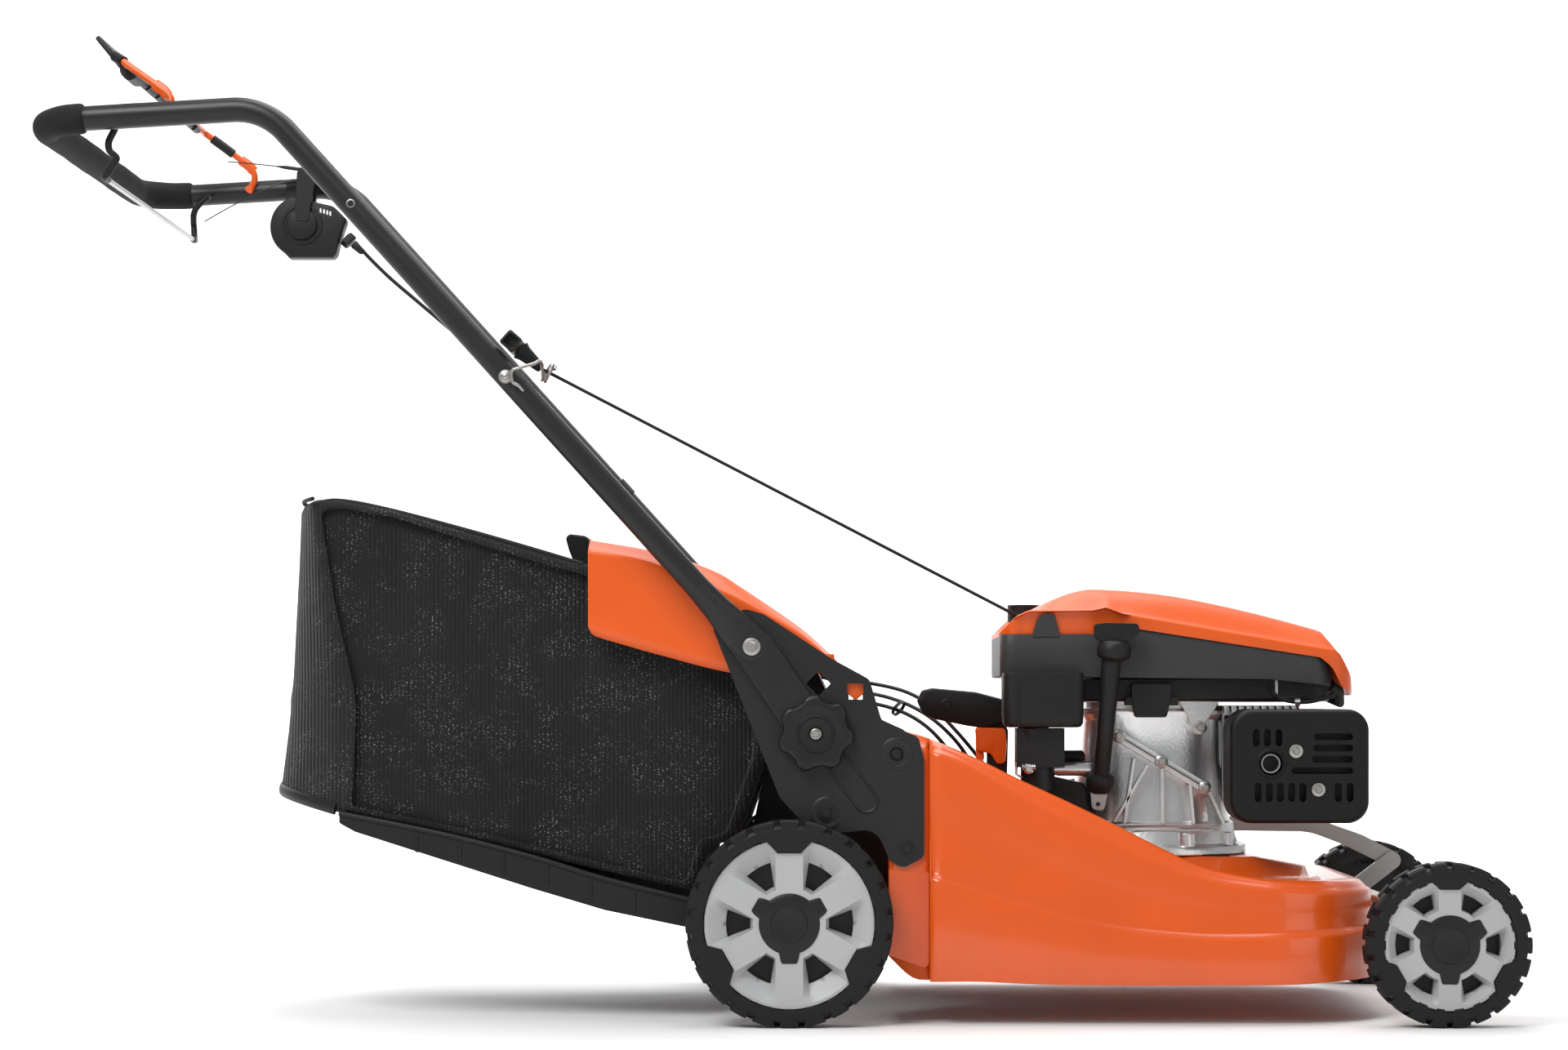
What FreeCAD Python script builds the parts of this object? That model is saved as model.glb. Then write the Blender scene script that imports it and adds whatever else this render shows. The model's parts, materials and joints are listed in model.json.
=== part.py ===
import FreeCAD, Part
import math
import os

import Sketcher

# Walk-behind lawn mower. +X is forward, +Y is the mower's left, +Z is up, millimetres.
# Every outline is drawn from the rear axle (x = 0) and the ground (z = 0); rearAxleX then
# places the rear axle so that the middle of the whole length lies at x = 0.

Vector = FreeCAD.Vector
doc = FreeCAD.newDocument("lawn_mower")
sheet = doc.addObject("Spreadsheet::Sheet", "dims")

drivingSizes = {
    "rearAxleX": 16.5,
    "clearance": 0.3,
    "rearTyreRadius": 117,
    "rearRimRadius": 96,
    "frontTyreRadius": 93,
    "frontRimRadius": 74,
    "wheelWidth": 45,
    "wheelFaceY": 290,
    "hubBore": 6.1,
    "stubRadius": 6,
    "wheelbase": 741,
    "crankReachX": 39,
    "crankReachZ": 38,
    "linkPinX": 47,
    "linkPinZ": 36,
    "crankPlateY": 236,
    "crankPlateThick": 6,
    "axleBarRadius": 7,
    "linkY": 134,
    "linkThick": 4,
    "deckHalfWidth": 262,
    "deckRearHalfWidth": 239,
    "deckRearX": 112,
    "deckFrontX": 690,
    "deckStepX": 158,
    "deckBottomZ": 46,
    "deckTopZ": 163,
    "deckCornerRadius": 150,
    "deckSheet": 2.5,
    "fairingInnerY": 185,
    "platformHalfWidth": 121,
    "platformTopZ": 184,
    "bladeX": 430,
    "bladeLength": 480,
    "bladeWidth": 55,
    "bladeThick": 4,
    "bladeZ": 62,
    "crankRadius": 12.7,
    "chuteHalfWidth": 118,
    "chuteWall": 3,
    "bracketOuterY": 243,
    "bracketThick": 3,
    "pivotX": -43.4,
    "pivotZ": 428.7,
    "knobX": 29.2,
    "knobZ": 330,
    "legThick": 10,
    "legOuterY": 254,
    "handleRadius": 14,
    "handleWall": 2,
    "handleHalfWidth": 262,
    "railBendX": -593,
    "railFrontZ": 1037,
    "crossbarX": -850,
    "crossbarZ": 1022,
    "foamThick": 3,
    "driveBailX": -711,
    "driveBailZ": 1030,
    "brakeBailX": -763,
    "brakeBailZ": 1023,
    "knobRadius": 38,
    "knobLobe": 9,
    "bagHalfWidth": 205,
    "bagWall": 4,
    "flapHalfWidth": 228,
    "flapWall": 3,
    "ropeRadius": 2,
    "cableRadius": 2.5,
}
for row, (alias, number) in enumerate(drivingSizes.items(), start=1):
    sheet.set(f"A{row}", alias)
    sheet.set(f"B{row}", str(number))
    sheet.setAlias(f"B{row}", alias)
doc.recompute()

subparts = []


def size(alias):
    return float(sheet.get(alias))


def bind(thing, prop, value):
    # A string is an expression over the sheet, a number is a plain size.
    if isinstance(value, str):
        thing.setExpression(prop, value)
    else:
        setattr(thing, prop, value)


def subpart(thing, label, y="0", z="0", x="0"):
    # Names a finished solid and places it from the rear axle.
    thing.Label = label
    thing.setExpression("Placement.Base.x", f"dims.rearAxleX + {x}")
    thing.setExpression("Placement.Base.y", y)
    thing.setExpression("Placement.Base.z", z)
    subparts.append(thing)
    return thing


def block(xRange, yRange, zRange):
    solid = doc.addObject("Part::Box", "block")
    solid.Length = xRange[1] - xRange[0]
    solid.Width = yRange[1] - yRange[0]
    solid.Height = zRange[1] - zRange[0]
    solid.Placement.Base = Vector(xRange[0], yRange[0], zRange[0])
    return solid


def rod(radius, start, end):
    # A round bar from one point to the other.
    solid = doc.addObject("Part::Cylinder", "rod")
    along = Vector(*end) - Vector(*start)
    bind(solid, "Radius", radius)
    solid.Height = along.Length
    solid.Placement = FreeCAD.Placement(Vector(*start), FreeCAD.Rotation(Vector(0, 0, 1), along))
    return solid


def rounded(points):
    # Line and arc pieces of a closed outline; a point's third number is its corner radius.
    starts, ends, edges = [], [], []
    count = len(points)
    for index, point in enumerate(points):
        here = Vector(point[0], point[1], 0)
        before = Vector(*points[index - 1][:2], 0) - here
        after = Vector(*points[(index + 1) % count][:2], 0) - here
        radius = point[2] if len(point) > 2 else 0
        half = before.getAngle(after) / 2
        reach = radius / math.tan(half)
        first = here + before.normalize() * reach
        last = here + after.normalize() * reach
        starts.append(first)
        ends.append(last)
        if radius:
            middle = (before + after).normalize()
            centre = here + middle * (radius / math.sin(half))
            edges.append(Part.Arc(first, centre - middle * radius, last))
    for index in range(count):
        if (starts[(index + 1) % count] - ends[index]).Length > 1e-6:
            edges.append(Part.LineSegment(ends[index], starts[(index + 1) % count]))
    return edges


def drawOutline(sketch, points):
    for edge in rounded(points):
        sketch.addGeometry(edge, False)


def prism(points, low, high, plane="XZ"):
    # An outline drawn in the plane and pushed from low to high across it.
    turns = {"XY": (Vector(1, 0, 0), 0), "XZ": (Vector(1, 0, 0), 90)}
    normals = {"XY": Vector(0, 0, 1), "XZ": Vector(0, 1, 0), "YZ": Vector(1, 0, 0)}
    sketch = doc.addObject("Sketcher::SketchObject", "outline")
    drawOutline(sketch, points)
    turn = FreeCAD.Rotation(*turns[plane]) if plane in turns else FreeCAD.Rotation(90, 0, 90)
    sketch.Placement = FreeCAD.Placement(normals[plane] * low, turn)
    solid = doc.addObject("Part::Extrusion", "prism")
    solid.Base = sketch
    solid.DirMode = "Custom"
    solid.Dir = normals[plane]
    solid.LengthFwd = high - low
    solid.Solid = True
    return solid


def fused(pieces):
    solid = doc.addObject("Part::MultiFuse", "joined")
    solid.Shapes = pieces
    return solid


def group(pieces):
    # Separate solids that share one node.
    solid = doc.addObject("Part::Compound", "group")
    solid.Links = pieces
    return solid


def cutAway(base, tools):
    solid = doc.addObject("Part::Cut", "cut")
    solid.Base = base
    solid.Tool = fused(tools) if len(tools) > 1 else tools[0]
    return solid


def shared(first, second):
    solid = doc.addObject("Part::Common", "shared")
    solid.Base = first
    solid.Tool = second
    return solid


def routeWire(points, radii):
    # Straight runs joined by tangent arcs, one radius for each inner corner.
    spots = [Vector(*point) for point in points]
    edges = []
    start = spots[0]
    for index in range(1, len(spots) - 1):
        back = (spots[index - 1] - spots[index]).normalize()
        forth = (spots[index + 1] - spots[index]).normalize()
        half = back.getAngle(forth) / 2
        radius = radii[index - 1]
        reach = radius / math.tan(half)
        first = spots[index] + back * reach
        last = spots[index] + forth * reach
        middle = (back + forth).normalize()
        crown = spots[index] + middle * (radius / math.sin(half) - radius)
        edges.append(Part.makeLine(start, first))
        edges.append(Part.Arc(first, crown, last).toShape())
        start = last
    edges.append(Part.makeLine(start, spots[-1]))
    return Part.Wire(edges)


def sweep(points, radii, radius, bore=0):
    # A round tube or bar along a route.
    wire = routeWire(points, radii)
    start = Vector(*points[0])
    along = Vector(*points[1]) - start
    shape = wire.makePipeShell([Part.Wire(Part.makeCircle(radius, start, along))], True, True)
    if bore:
        inner = wire.makePipeShell([Part.Wire(Part.makeCircle(bore, start, along))], True, True)
        shape = shape.cut(inner)
    expected = math.pi * (radius**2 - bore**2) * wire.Length
    if abs(shape.Volume / expected - 1) > 0.02:
        raise ValueError(f"swept tube at {points[0]} has the wrong volume")
    solid = doc.addObject("Part::Feature", "swept")
    solid.Shape = shape
    return solid


def cordTube(label, points, radius):
    # Each bend is as large as its two runs allow.
    spots = [Vector(*point) for point in points]
    radii = []
    for index in range(1, len(spots) - 1):
        back = spots[index - 1] - spots[index]
        forth = spots[index + 1] - spots[index]
        turn = math.pi - back.getAngle(forth)
        radii.append(0.45 * min(back.Length, forth.Length) / math.tan(turn / 2))
    print(label, "bend radii", [round(value) for value in radii])
    return subpart(sweep(points, radii, radius), label)


def originPlane(body, role):
    return [plane for plane in body.Origin.OriginFeatures if plane.Role == role][0]


def bodySketch(body, name, role="XZ_Plane", offset=None):
    sketch = body.newObject("Sketcher::SketchObject", name)
    sketch.AttachmentSupport = (originPlane(body, role), [""])
    sketch.MapMode = "FlatFace"
    if offset is not None:
        bind(sketch, "AttachmentOffset.Base.z", offset)
    return sketch


def circle(sketch, x, y, radius):
    # A circle whose radius is bound to the sheet when it is given as an expression.
    number = 1 if isinstance(radius, str) else radius
    index = sketch.addGeometry(Part.Circle(Vector(x, y, 0), Vector(0, 0, 1), number), False)
    if isinstance(radius, str):
        place = sketch.addConstraint(Sketcher.Constraint("Radius", index, 1.0))
        sketch.setExpression(f"Constraints[{place}]", radius)


def pad(body, sketch, length):
    feature = body.newObject("PartDesign::Pad", "Pad")
    feature.Profile = sketch
    bind(feature, "Length", length)
    return feature


def pocketThrough(body, sketch):
    feature = body.newObject("PartDesign::Pocket", "Pocket")
    feature.Profile = sketch
    feature.Type = "ThroughAll"
    feature.Midplane = True
    return feature


def polar(body, feature, sketch, axis, count):
    pattern = body.newObject("PartDesign::PolarPattern", "PolarPattern")
    pattern.Originals = [feature]
    pattern.Axis = (sketch, [axis])
    pattern.Angle = 360
    pattern.Occurrences = count
    body.Tip = pattern
    return pattern


# ---- deck: a pressed steel shell, open below, with high fairings beside a low middle

def deckPlan(inset):
    rear = size("deckRearX") + inset
    front = size("deckFrontX") - inset
    narrow = size("deckRearHalfWidth") - inset
    wide = size("deckHalfWidth") - inset
    step = size("deckStepX") + inset
    corner = size("deckCornerRadius") - inset
    right = [(rear, -narrow, 4), (step, -narrow), (step + 6, -wide), (front, -wide, corner)]
    left = [(x, -y, *radius) for x, y, *radius in reversed(right)]
    return right + left


def fairingSide(inset):
    rear = size("deckRearX") + inset
    drop = -inset
    base = size("deckBottomZ") - inset
    crest = [(rear, 332 + drop), (150 + inset, 327 + drop), (257, 280 + drop, 200),
             (381, 221 + drop, 200), (470, 178 + drop, 60), (540, 166 + drop)]
    return [(540, base), (rear, base)] + crest


def deckBulk(inset):
    # The filled form of the deck, shrunk by the inset for its hollow.
    base = size("deckBottomZ") - inset
    top = size("deckTopZ") - inset
    band = size("platformHalfWidth") - inset
    inner = size("fairingInnerY") + inset
    outer = size("deckHalfWidth") + 1
    chute = size("chuteHalfWidth") - inset
    rear = size("deckRearX") + inset
    main = prism(deckPlan(inset), base, top, "XY")
    crown = size("platformTopZ") - inset
    platform = prism([(275, base), (300, crown, 10), (640, crown, 30), (672, base)], -band, band)
    ramp = prism([(rear, base), (rear, 225 - inset), (190, 215 - inset, 60), (330, base)], -chute, chute)
    pieces = [main, platform, ramp]
    for low, high in ((-outer, -inner), (inner, outer)):
        plan = prism(deckPlan(inset), base, 340, "XY")
        pieces.append(shared(prism(fairingSide(inset), low, high), plan))
    return fused(pieces)


def makeDeck():
    sheetThick = size("deckSheet")
    bladeX = size("bladeX")
    rear = size("deckRearX")
    chuteHole = block((rear - 5, rear + 20), (-112, 112), (133, 216))
    beltSlot = block((rear - 5, rear + 20), (-60, 60), (100, 130))
    shaftHole = rod(48, (bladeX, 0, 150), (bladeX, 0, 200))
    shell = cutAway(deckBulk(0), [deckBulk(sheetThick), chuteHole, beltSlot, shaftHole])
    supports = makeSupports(pivotPoint(size("wheelbase"), size("frontTyreRadius")))
    subpart(fused([shell] + supports), "deck_shell")


def makeChute():
    half = size("chuteHalfWidth")
    wall = size("chuteWall")
    # Mouth behind, upright against the bag; the front end stands on the deck's rear wall.
    outer = prism([(112, 131), (-48, 213), (-11, 392), (30, 400), (112, 221)], -half, half)
    hollow = prism([(140, 134), (112, 134), (-60, 222), (-30, 386), (28, 396), (110, 217), (140, 217)],
                   -half + wall, half - wall)
    subpart(cutAway(outer, [hollow]), "discharge_chute")


# ---- rear brackets: folded steel plates that carry the handle

def makeBracket(side, label):
    body = doc.addObject("PartDesign::Body", label)
    outerY = "dims.bracketOuterY" if side < 0 else "dims.bracketThick - dims.bracketOuterY"
    outline = [(-90, 455, 10), (-51, 472, 12), (-30, 466, 30), (46, 416, 14), (90, 392, 10),
               (104, 345, 10), (146, 326, 10), (152, 300, 8), (152, 190, 10), (128, 177, 12),
               (113, 186, 8), (96, 236, 30), (14, 236, 20), (-12, 264, 8)]
    sketch = bodySketch(body, "plate", offset=f"{outerY} - dims.bracketThick")
    drawOutline(sketch, outline)
    pad(body, sketch, "dims.bracketThick")
    doc.recompute()
    holes = bodySketch(body, "holes")
    drawOutline(holes, [(32, 401), (46, 387), (32, 373), (18, 387)])
    drawOutline(holes, [(65, 387), (83, 387), (83, 369), (65, 369)])
    circle(holes, size("pivotX"), size("pivotZ"), 5.2)
    circle(holes, 46, 404, 4.1)
    for x, z in bracketBoltPlaces:
        circle(holes, x, z, 4.2)
    pocketThrough(body, holes)
    subpart(body, label)


bracketBoltPlaces = [(121, 307), (133, 199)]
guardBoltPlaces = [(584, 308), (611, 263)]


def engineBoltPlaces():
    turns = [math.radians(angle) for angle in (90, 210, 330)]
    return [(size("bladeX") + 108 * math.cos(turn), 108 * math.sin(turn)) for turn in turns]


def flangeBolt(at, outward, grip, radius=4):
    # A washer-faced bolt; the head faces outward and the shank runs back through the grip.
    normal = Vector(*outward)
    place = Vector(*at)
    washer = rod(radius * 2.3, tuple(place), tuple(place + normal * 2))
    head = rod(radius * 1.6, tuple(place + normal * 2), tuple(place + normal * 7))
    shank = rod(radius, tuple(place - normal * grip), tuple(place))
    return fused([washer, head, shank])


def makeFlangeBolts():
    outerY = size("bracketOuterY")
    bolts = []
    for side in (-1, 1):
        for x, z in bracketBoltPlaces:
            bolts.append(flangeBolt((x, side * outerY, z), (0, side, 0), 3.9))
        legFace = size("legOuterY") + size("clearance")
        bolts.append(flangeBolt((size("pivotX"), side * legFace, size("pivotZ")), (0, side, 0), 15, 5))
    for x, y in engineBoltPlaces():
        bolts.append(flangeBolt((x, y, size("platformTopZ") + 11), (0, 0, 1), 10.8))
    for x, z in guardBoltPlaces:
        bolts.append(flangeBolt((x, -192.2, z), (0, -1, 0), 24.2, 3.8))
    subpart(group(bolts), "flange_bolts")


# ---- axles: each end has a crank, so the deck rises and falls as the cranks turn

def pivotPoint(wheelX, wheelZ):
    return wheelX - size("crankReachX"), wheelZ + size("crankReachZ")


def crankPlate(pivot, wheel, low, high):
    rim = 11
    ends = [rod(rim, (pivot[0], low, pivot[1]), (pivot[0], high, pivot[1])),
            rod(rim, (wheel[0], low, wheel[1]), (wheel[0], high, wheel[1]))]
    along = Vector(wheel[0] - pivot[0], 0, wheel[1] - pivot[1]).normalize()
    across = Vector(-along.z, 0, along.x) * rim
    corners = [(pivot[0] + across.x, pivot[1] + across.z), (wheel[0] + across.x, wheel[1] + across.z),
               (wheel[0] - across.x, wheel[1] - across.z), (pivot[0] - across.x, pivot[1] - across.z)]
    return ends + [prism(corners, low, high)]


def makeAxle(label, wheel, barPlace):
    pivot = pivotPoint(*wheel)
    low = size("crankPlateY")
    high = low + size("crankPlateThick")
    reach = size("wheelFaceY") - 4
    pieces = [rod("dims.axleBarRadius", (barPlace[0], -low, barPlace[1]), (barPlace[0], low, barPlace[1]))]
    for side in (-1, 1):
        near, far = sorted((side * low, side * high))
        pieces += crankPlate(pivot, wheel, near, far)
        pieces += crankPlate(pivot, barPlace, near, far) if barPlace != pivot else []
        stub = rod("dims.stubRadius", (wheel[0], side * high, wheel[1]), (wheel[0], side * reach, wheel[1]))
        pieces.append(stub)
    pin = (pivot[0] + size("linkPinX"), pivot[1] + size("linkPinZ"))
    linkY = size("linkY")
    thick = size("linkThick")
    pieces += crankPlate(barPlace, pin, linkY - thick - 0.3, linkY - 0.3)
    pieces.append(rod(4, (pin[0], linkY - 1, pin[1]), (pin[0], linkY + 10, pin[1])))
    solid = fused(pieces)
    bearings = [rod(6.1, (pivot[0], -262, pivot[1]), (pivot[0], 262, pivot[1]))]
    subpart(cutAway(solid, bearings) if barPlace != pivot else solid, label)
    return pivot, pin


def makeWheel(label, rimLabel, x, side, tyreRadius, rimRadius, capRadius):
    centreY = f"{side} * (dims.wheelFaceY - dims.wheelWidth / 2)"
    half = size("wheelWidth") / 2
    tyreR = size(tyreRadius)
    rimR = size(rimRadius)
    tyre = doc.addObject("PartDesign::Body", label)
    section = bodySketch(tyre, "section", "XY_Plane")
    drawOutline(section, [(rimR + 0.05, -half + 4), (tyreR - 12, -half, 4), (tyreR, -half + 9, 5),
                          (tyreR, half - 9, 5), (tyreR - 12, half, 4), (rimR + 0.05, half - 4)])
    turned = tyre.newObject("PartDesign::Revolution", "Revolution")
    turned.Profile = section
    turned.ReferenceAxis = (section, ["V_Axis"])
    turned.Angle = 360
    subpart(tyre, label, x=x, y=centreY, z=f"dims.{tyreRadius}")
    # The rim is a barrel with a spoked disc near its outer side and a hub with its bore.
    rim = doc.addObject("PartDesign::Body", rimLabel)
    face = side * (half - 6)
    back = side * (half - 12)
    bore = size("hubBore")
    profile = bodySketch(rim, "profile", "XY_Plane")
    drawOutline(profile, [(rimR, -half + 3), (rimR, half - 3), (rimR - 6, half - 3), (rimR - 6, face)]
                + [(capRadius, face), (capRadius, side * (half - 1)), (bore, side * (half - 1)),
                   (bore, side * (3 - half)), (18, side * (3 - half)), (20, back), (rimR - 6, back),
                   (rimR - 6, side * (3 - half))]
                if side > 0 else
                [(rimR, half - 3), (rimR, -half + 3), (rimR - 6, -half + 3), (rimR - 6, face),
                 (capRadius, face), (capRadius, side * (half - 1)), (bore, side * (half - 1)),
                 (bore, side * (3 - half)), (18, side * (3 - half)), (20, back), (rimR - 6, back),
                 (rimR - 6, side * (3 - half))])
    turned = rim.newObject("PartDesign::Revolution", "Revolution")
    turned.Profile = profile
    turned.ReferenceAxis = (profile, ["V_Axis"])
    turned.Angle = 360
    doc.recompute()
    window = bodySketch(rim, "window")
    inner = capRadius + 6
    outer = rimR - 14
    drawOutline(window, [(inner, -inner * 0.28, 2), (outer, -outer * 0.36, 5), (outer + 5, 0),
                         (outer, outer * 0.36, 5), (inner, inner * 0.28, 2)])
    opening = pocketThrough(rim, window)
    doc.recompute()
    polar(rim, opening, profile, "V_Axis", 6)
    subpart(rim, rimLabel, x=x, y=centreY, z=f"dims.{tyreRadius}")


def makeRunningGear():
    rearWheel = (0, size("rearTyreRadius"))
    frontWheel = (size("wheelbase"), size("frontTyreRadius"))
    rearPivot = pivotPoint(*rearWheel)
    frontPivot = pivotPoint(*frontWheel)
    makeAxle("rear_axle", rearWheel, (rearPivot[0], rearPivot[1] + 36))
    makeAxle("front_axle", frontWheel, frontPivot)
    for side, name in ((-1, "right"), (1, "left")):
        makeWheel(f"rear_{name}_tyre", f"rear_{name}_wheel", "0", side,
                  "rearTyreRadius", "rearRimRadius", 35)
        makeWheel(f"front_{name}_tyre", f"front_{name}_wheel", "dims.wheelbase", side,
                  "frontTyreRadius", "frontRimRadius", 33)
    # The drive shaft ends just inside the rear wheels' drums.
    shaftEnd = 244
    shaft = rod(6, (rearPivot[0], -shaftEnd, rearPivot[1]), (rearPivot[0], shaftEnd, rearPivot[1]))
    collars = [rod(9, (rearPivot[0], side * 40, rearPivot[1]), (rearPivot[0], side * 45, rearPivot[1]))
               for side in (-1, 1)]
    subpart(fused([shaft] + collars), "drive_shaft")
    casing = prism([(-79, 134, 8), (-79, 178, 8), (4, 178, 14), (4, 134, 8)], -34, 34)
    bores = [rod(6.1, (rearPivot[0], -40, rearPivot[1]), (rearPivot[0], 40, rearPivot[1])),
             rod(5.1, (-12, 0, 130), (-12, 0, 145))]
    subpart(cutAway(casing, bores), "gearbox")
    pulley = cutAway(rod(45, (-12, 0, 112), (-12, 0, 126)),
                     [cutAway(rod(60, (-12, 0, 115), (-12, 0, 123)), [rod(39, (-12, 0, 115), (-12, 0, 123))])])
    subpart(fused([pulley, rod(5, (-12, 0, 120), (-12, 0, 144))]), "drive_pulley")
    makeBelt()


def beltLoop(rearRadius, frontRadius, low, high):
    bladeX = size("bladeX")
    rear = rod(rearRadius, (-12, 0, low), (-12, 0, high))
    front = rod(frontRadius, (bladeX, 0, low), (bladeX, 0, high))
    return [rear, front, prism([(-12, -rearRadius), (bladeX, -frontRadius),
                                (bladeX, frontRadius), (-12, rearRadius)], low, high, "XY")]


def makeBelt():
    outer = fused(beltLoop(43.3, 27.3, 116, 122))
    inner = fused(beltLoop(39.3, 23.3, 115, 123))
    subpart(cutAway(outer, [inner]), "drive_belt")
    guard = cutAway(prism([(118, -60, 4), (470, -60, 20), (470, 60, 20), (118, 60, 4)], 103, 106, "XY"),
                    [rod(30, (size("bladeX"), 0, 100), (size("bladeX"), 0, 110))])
    posts = [rod(5, (x, y, 106), (x, y, size("platformTopZ") - size("deckSheet")))
             for x, y in ((340, -52), (340, 52))]
    subpart(fused([guard] + posts), "belt_guard")


def makeSupports(frontPivot):
    # Small steel supports, welded on the deck, for the front axle bar and the height lever's pin.
    supports = []
    for y in (-150, 150):
        hanger = prism([(650, size("deckTopZ")), (650, size("deckTopZ") + 6, 3),
                        (frontPivot[0] + 16, size("deckTopZ") + 6, 6),
                        (frontPivot[0] + 16, frontPivot[1] - 14, 6),
                        (frontPivot[0] - 10.5, frontPivot[1] - 14, 3),
                        (frontPivot[0] - 10.5, size("deckTopZ"))], y - 9, y + 9)
        bore = rod(size("axleBarRadius") + 0.1, (frontPivot[0], y - 20, frontPivot[1]),
                   (frontPivot[0], y + 20, frontPivot[1]))
        supports.append(cutAway(hanger, [bore]))
    leverPivot = (255, 177)
    foot = block((225, 285), (152, 170), (size("deckTopZ"), size("deckTopZ") + 3))
    stand = prism([(235, size("deckTopZ") + 1), (235, 190, 8), (275, 190, 8), (275, size("deckTopZ") + 1)],
                  152, 156)
    pin = rod(5, (leverPivot[0], 126, leverPivot[1]), (leverPivot[0], 154, leverPivot[1]))
    return supports + [foot, stand, pin]


# ---- height lever and its two links: a parallelogram, so both axles turn alike

def makeHeightControl():
    pivotX, pivotZ = 255, 177
    pinX = pivotX + size("linkPinX")
    pinZ = pivotZ + size("linkPinZ")
    outline = [(pivotX - 12, pivotZ - 10, 8), (pivotX + 14, pivotZ - 10, 8), (pinX + 10, pinZ - 4, 8),
               (pinX + 6, pinZ + 10, 8), (pinX - 18, pinZ + 8, 10), (268, 330, 10), (262, 366, 14),
               (224, 352, 20), (170, 366, 14), (157, 382, 6), (150, 370, 5), (160, 350, 8),
               (222, 338, 20), (238, 330, 12), (238, 230, 20)]
    plate = prism(outline, 127, 133)
    holes = [rod(5.1, (pivotX, 120, pivotZ), (pivotX, 140, pivotZ))]
    lever = fused([cutAway(plate, holes), rod(4, (pinX, 132, pinZ), (pinX, 144, pinZ))])
    subpart(lever, "height_lever")
    subpart(prism([(225, 322, 3), (234, 322, 2), (236, 294, 3), (226, 290, 3)], 122, 138), "height_trigger")
    frontPivot = pivotPoint(size("wheelbase"), size("frontTyreRadius"))
    rearPivot = pivotPoint(0, size("rearTyreRadius"))
    frontPin = (frontPivot[0] + size("linkPinX"), frontPivot[1] + size("linkPinZ"))
    rearPin = (rearPivot[0] + size("linkPinX"), rearPivot[1] + size("linkPinZ"))
    low = size("linkY")
    high = low + size("linkThick")
    strap = prism([(pinX - 12, pinZ + 11, 8), (560, 222, 60), (655, 219, 80), (712, 199, 60),
                   (frontPin[0] + 13, frontPin[1] + 6, 9), (frontPin[0] + 4, frontPin[1] - 12, 9),
                   (690, 186, 60), (645, 203, 80), (560, 204, 60), (pinX - 12, pinZ - 11, 8)], low, high)
    pinHoles = [rod(4.3, (x, low - 1, z), (x, high + 1, z)) for x, z in ((pinX, pinZ), frontPin)]
    subpart(cutAway(strap, pinHoles), "front_link")
    low = high + 0.5
    high = low + size("linkThick")
    rearStrap = prism([(rearPin[0] - 12, rearPin[1] + 11, 8), (pinX + 12, pinZ + 11, 8),
                       (pinX + 12, pinZ - 11, 8), (rearPin[0] - 12, rearPin[1] - 11, 8)], low, high)
    pinHoles = [rod(4.6, (x, low - 1, z), (x, high + 1, z)) for x, z in ((pinX, pinZ), rearPin)]
    subpart(cutAway(rearStrap, pinHoles), "rear_link")


# ---- engine: vertical crankshaft, cylinder pointing forward

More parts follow.
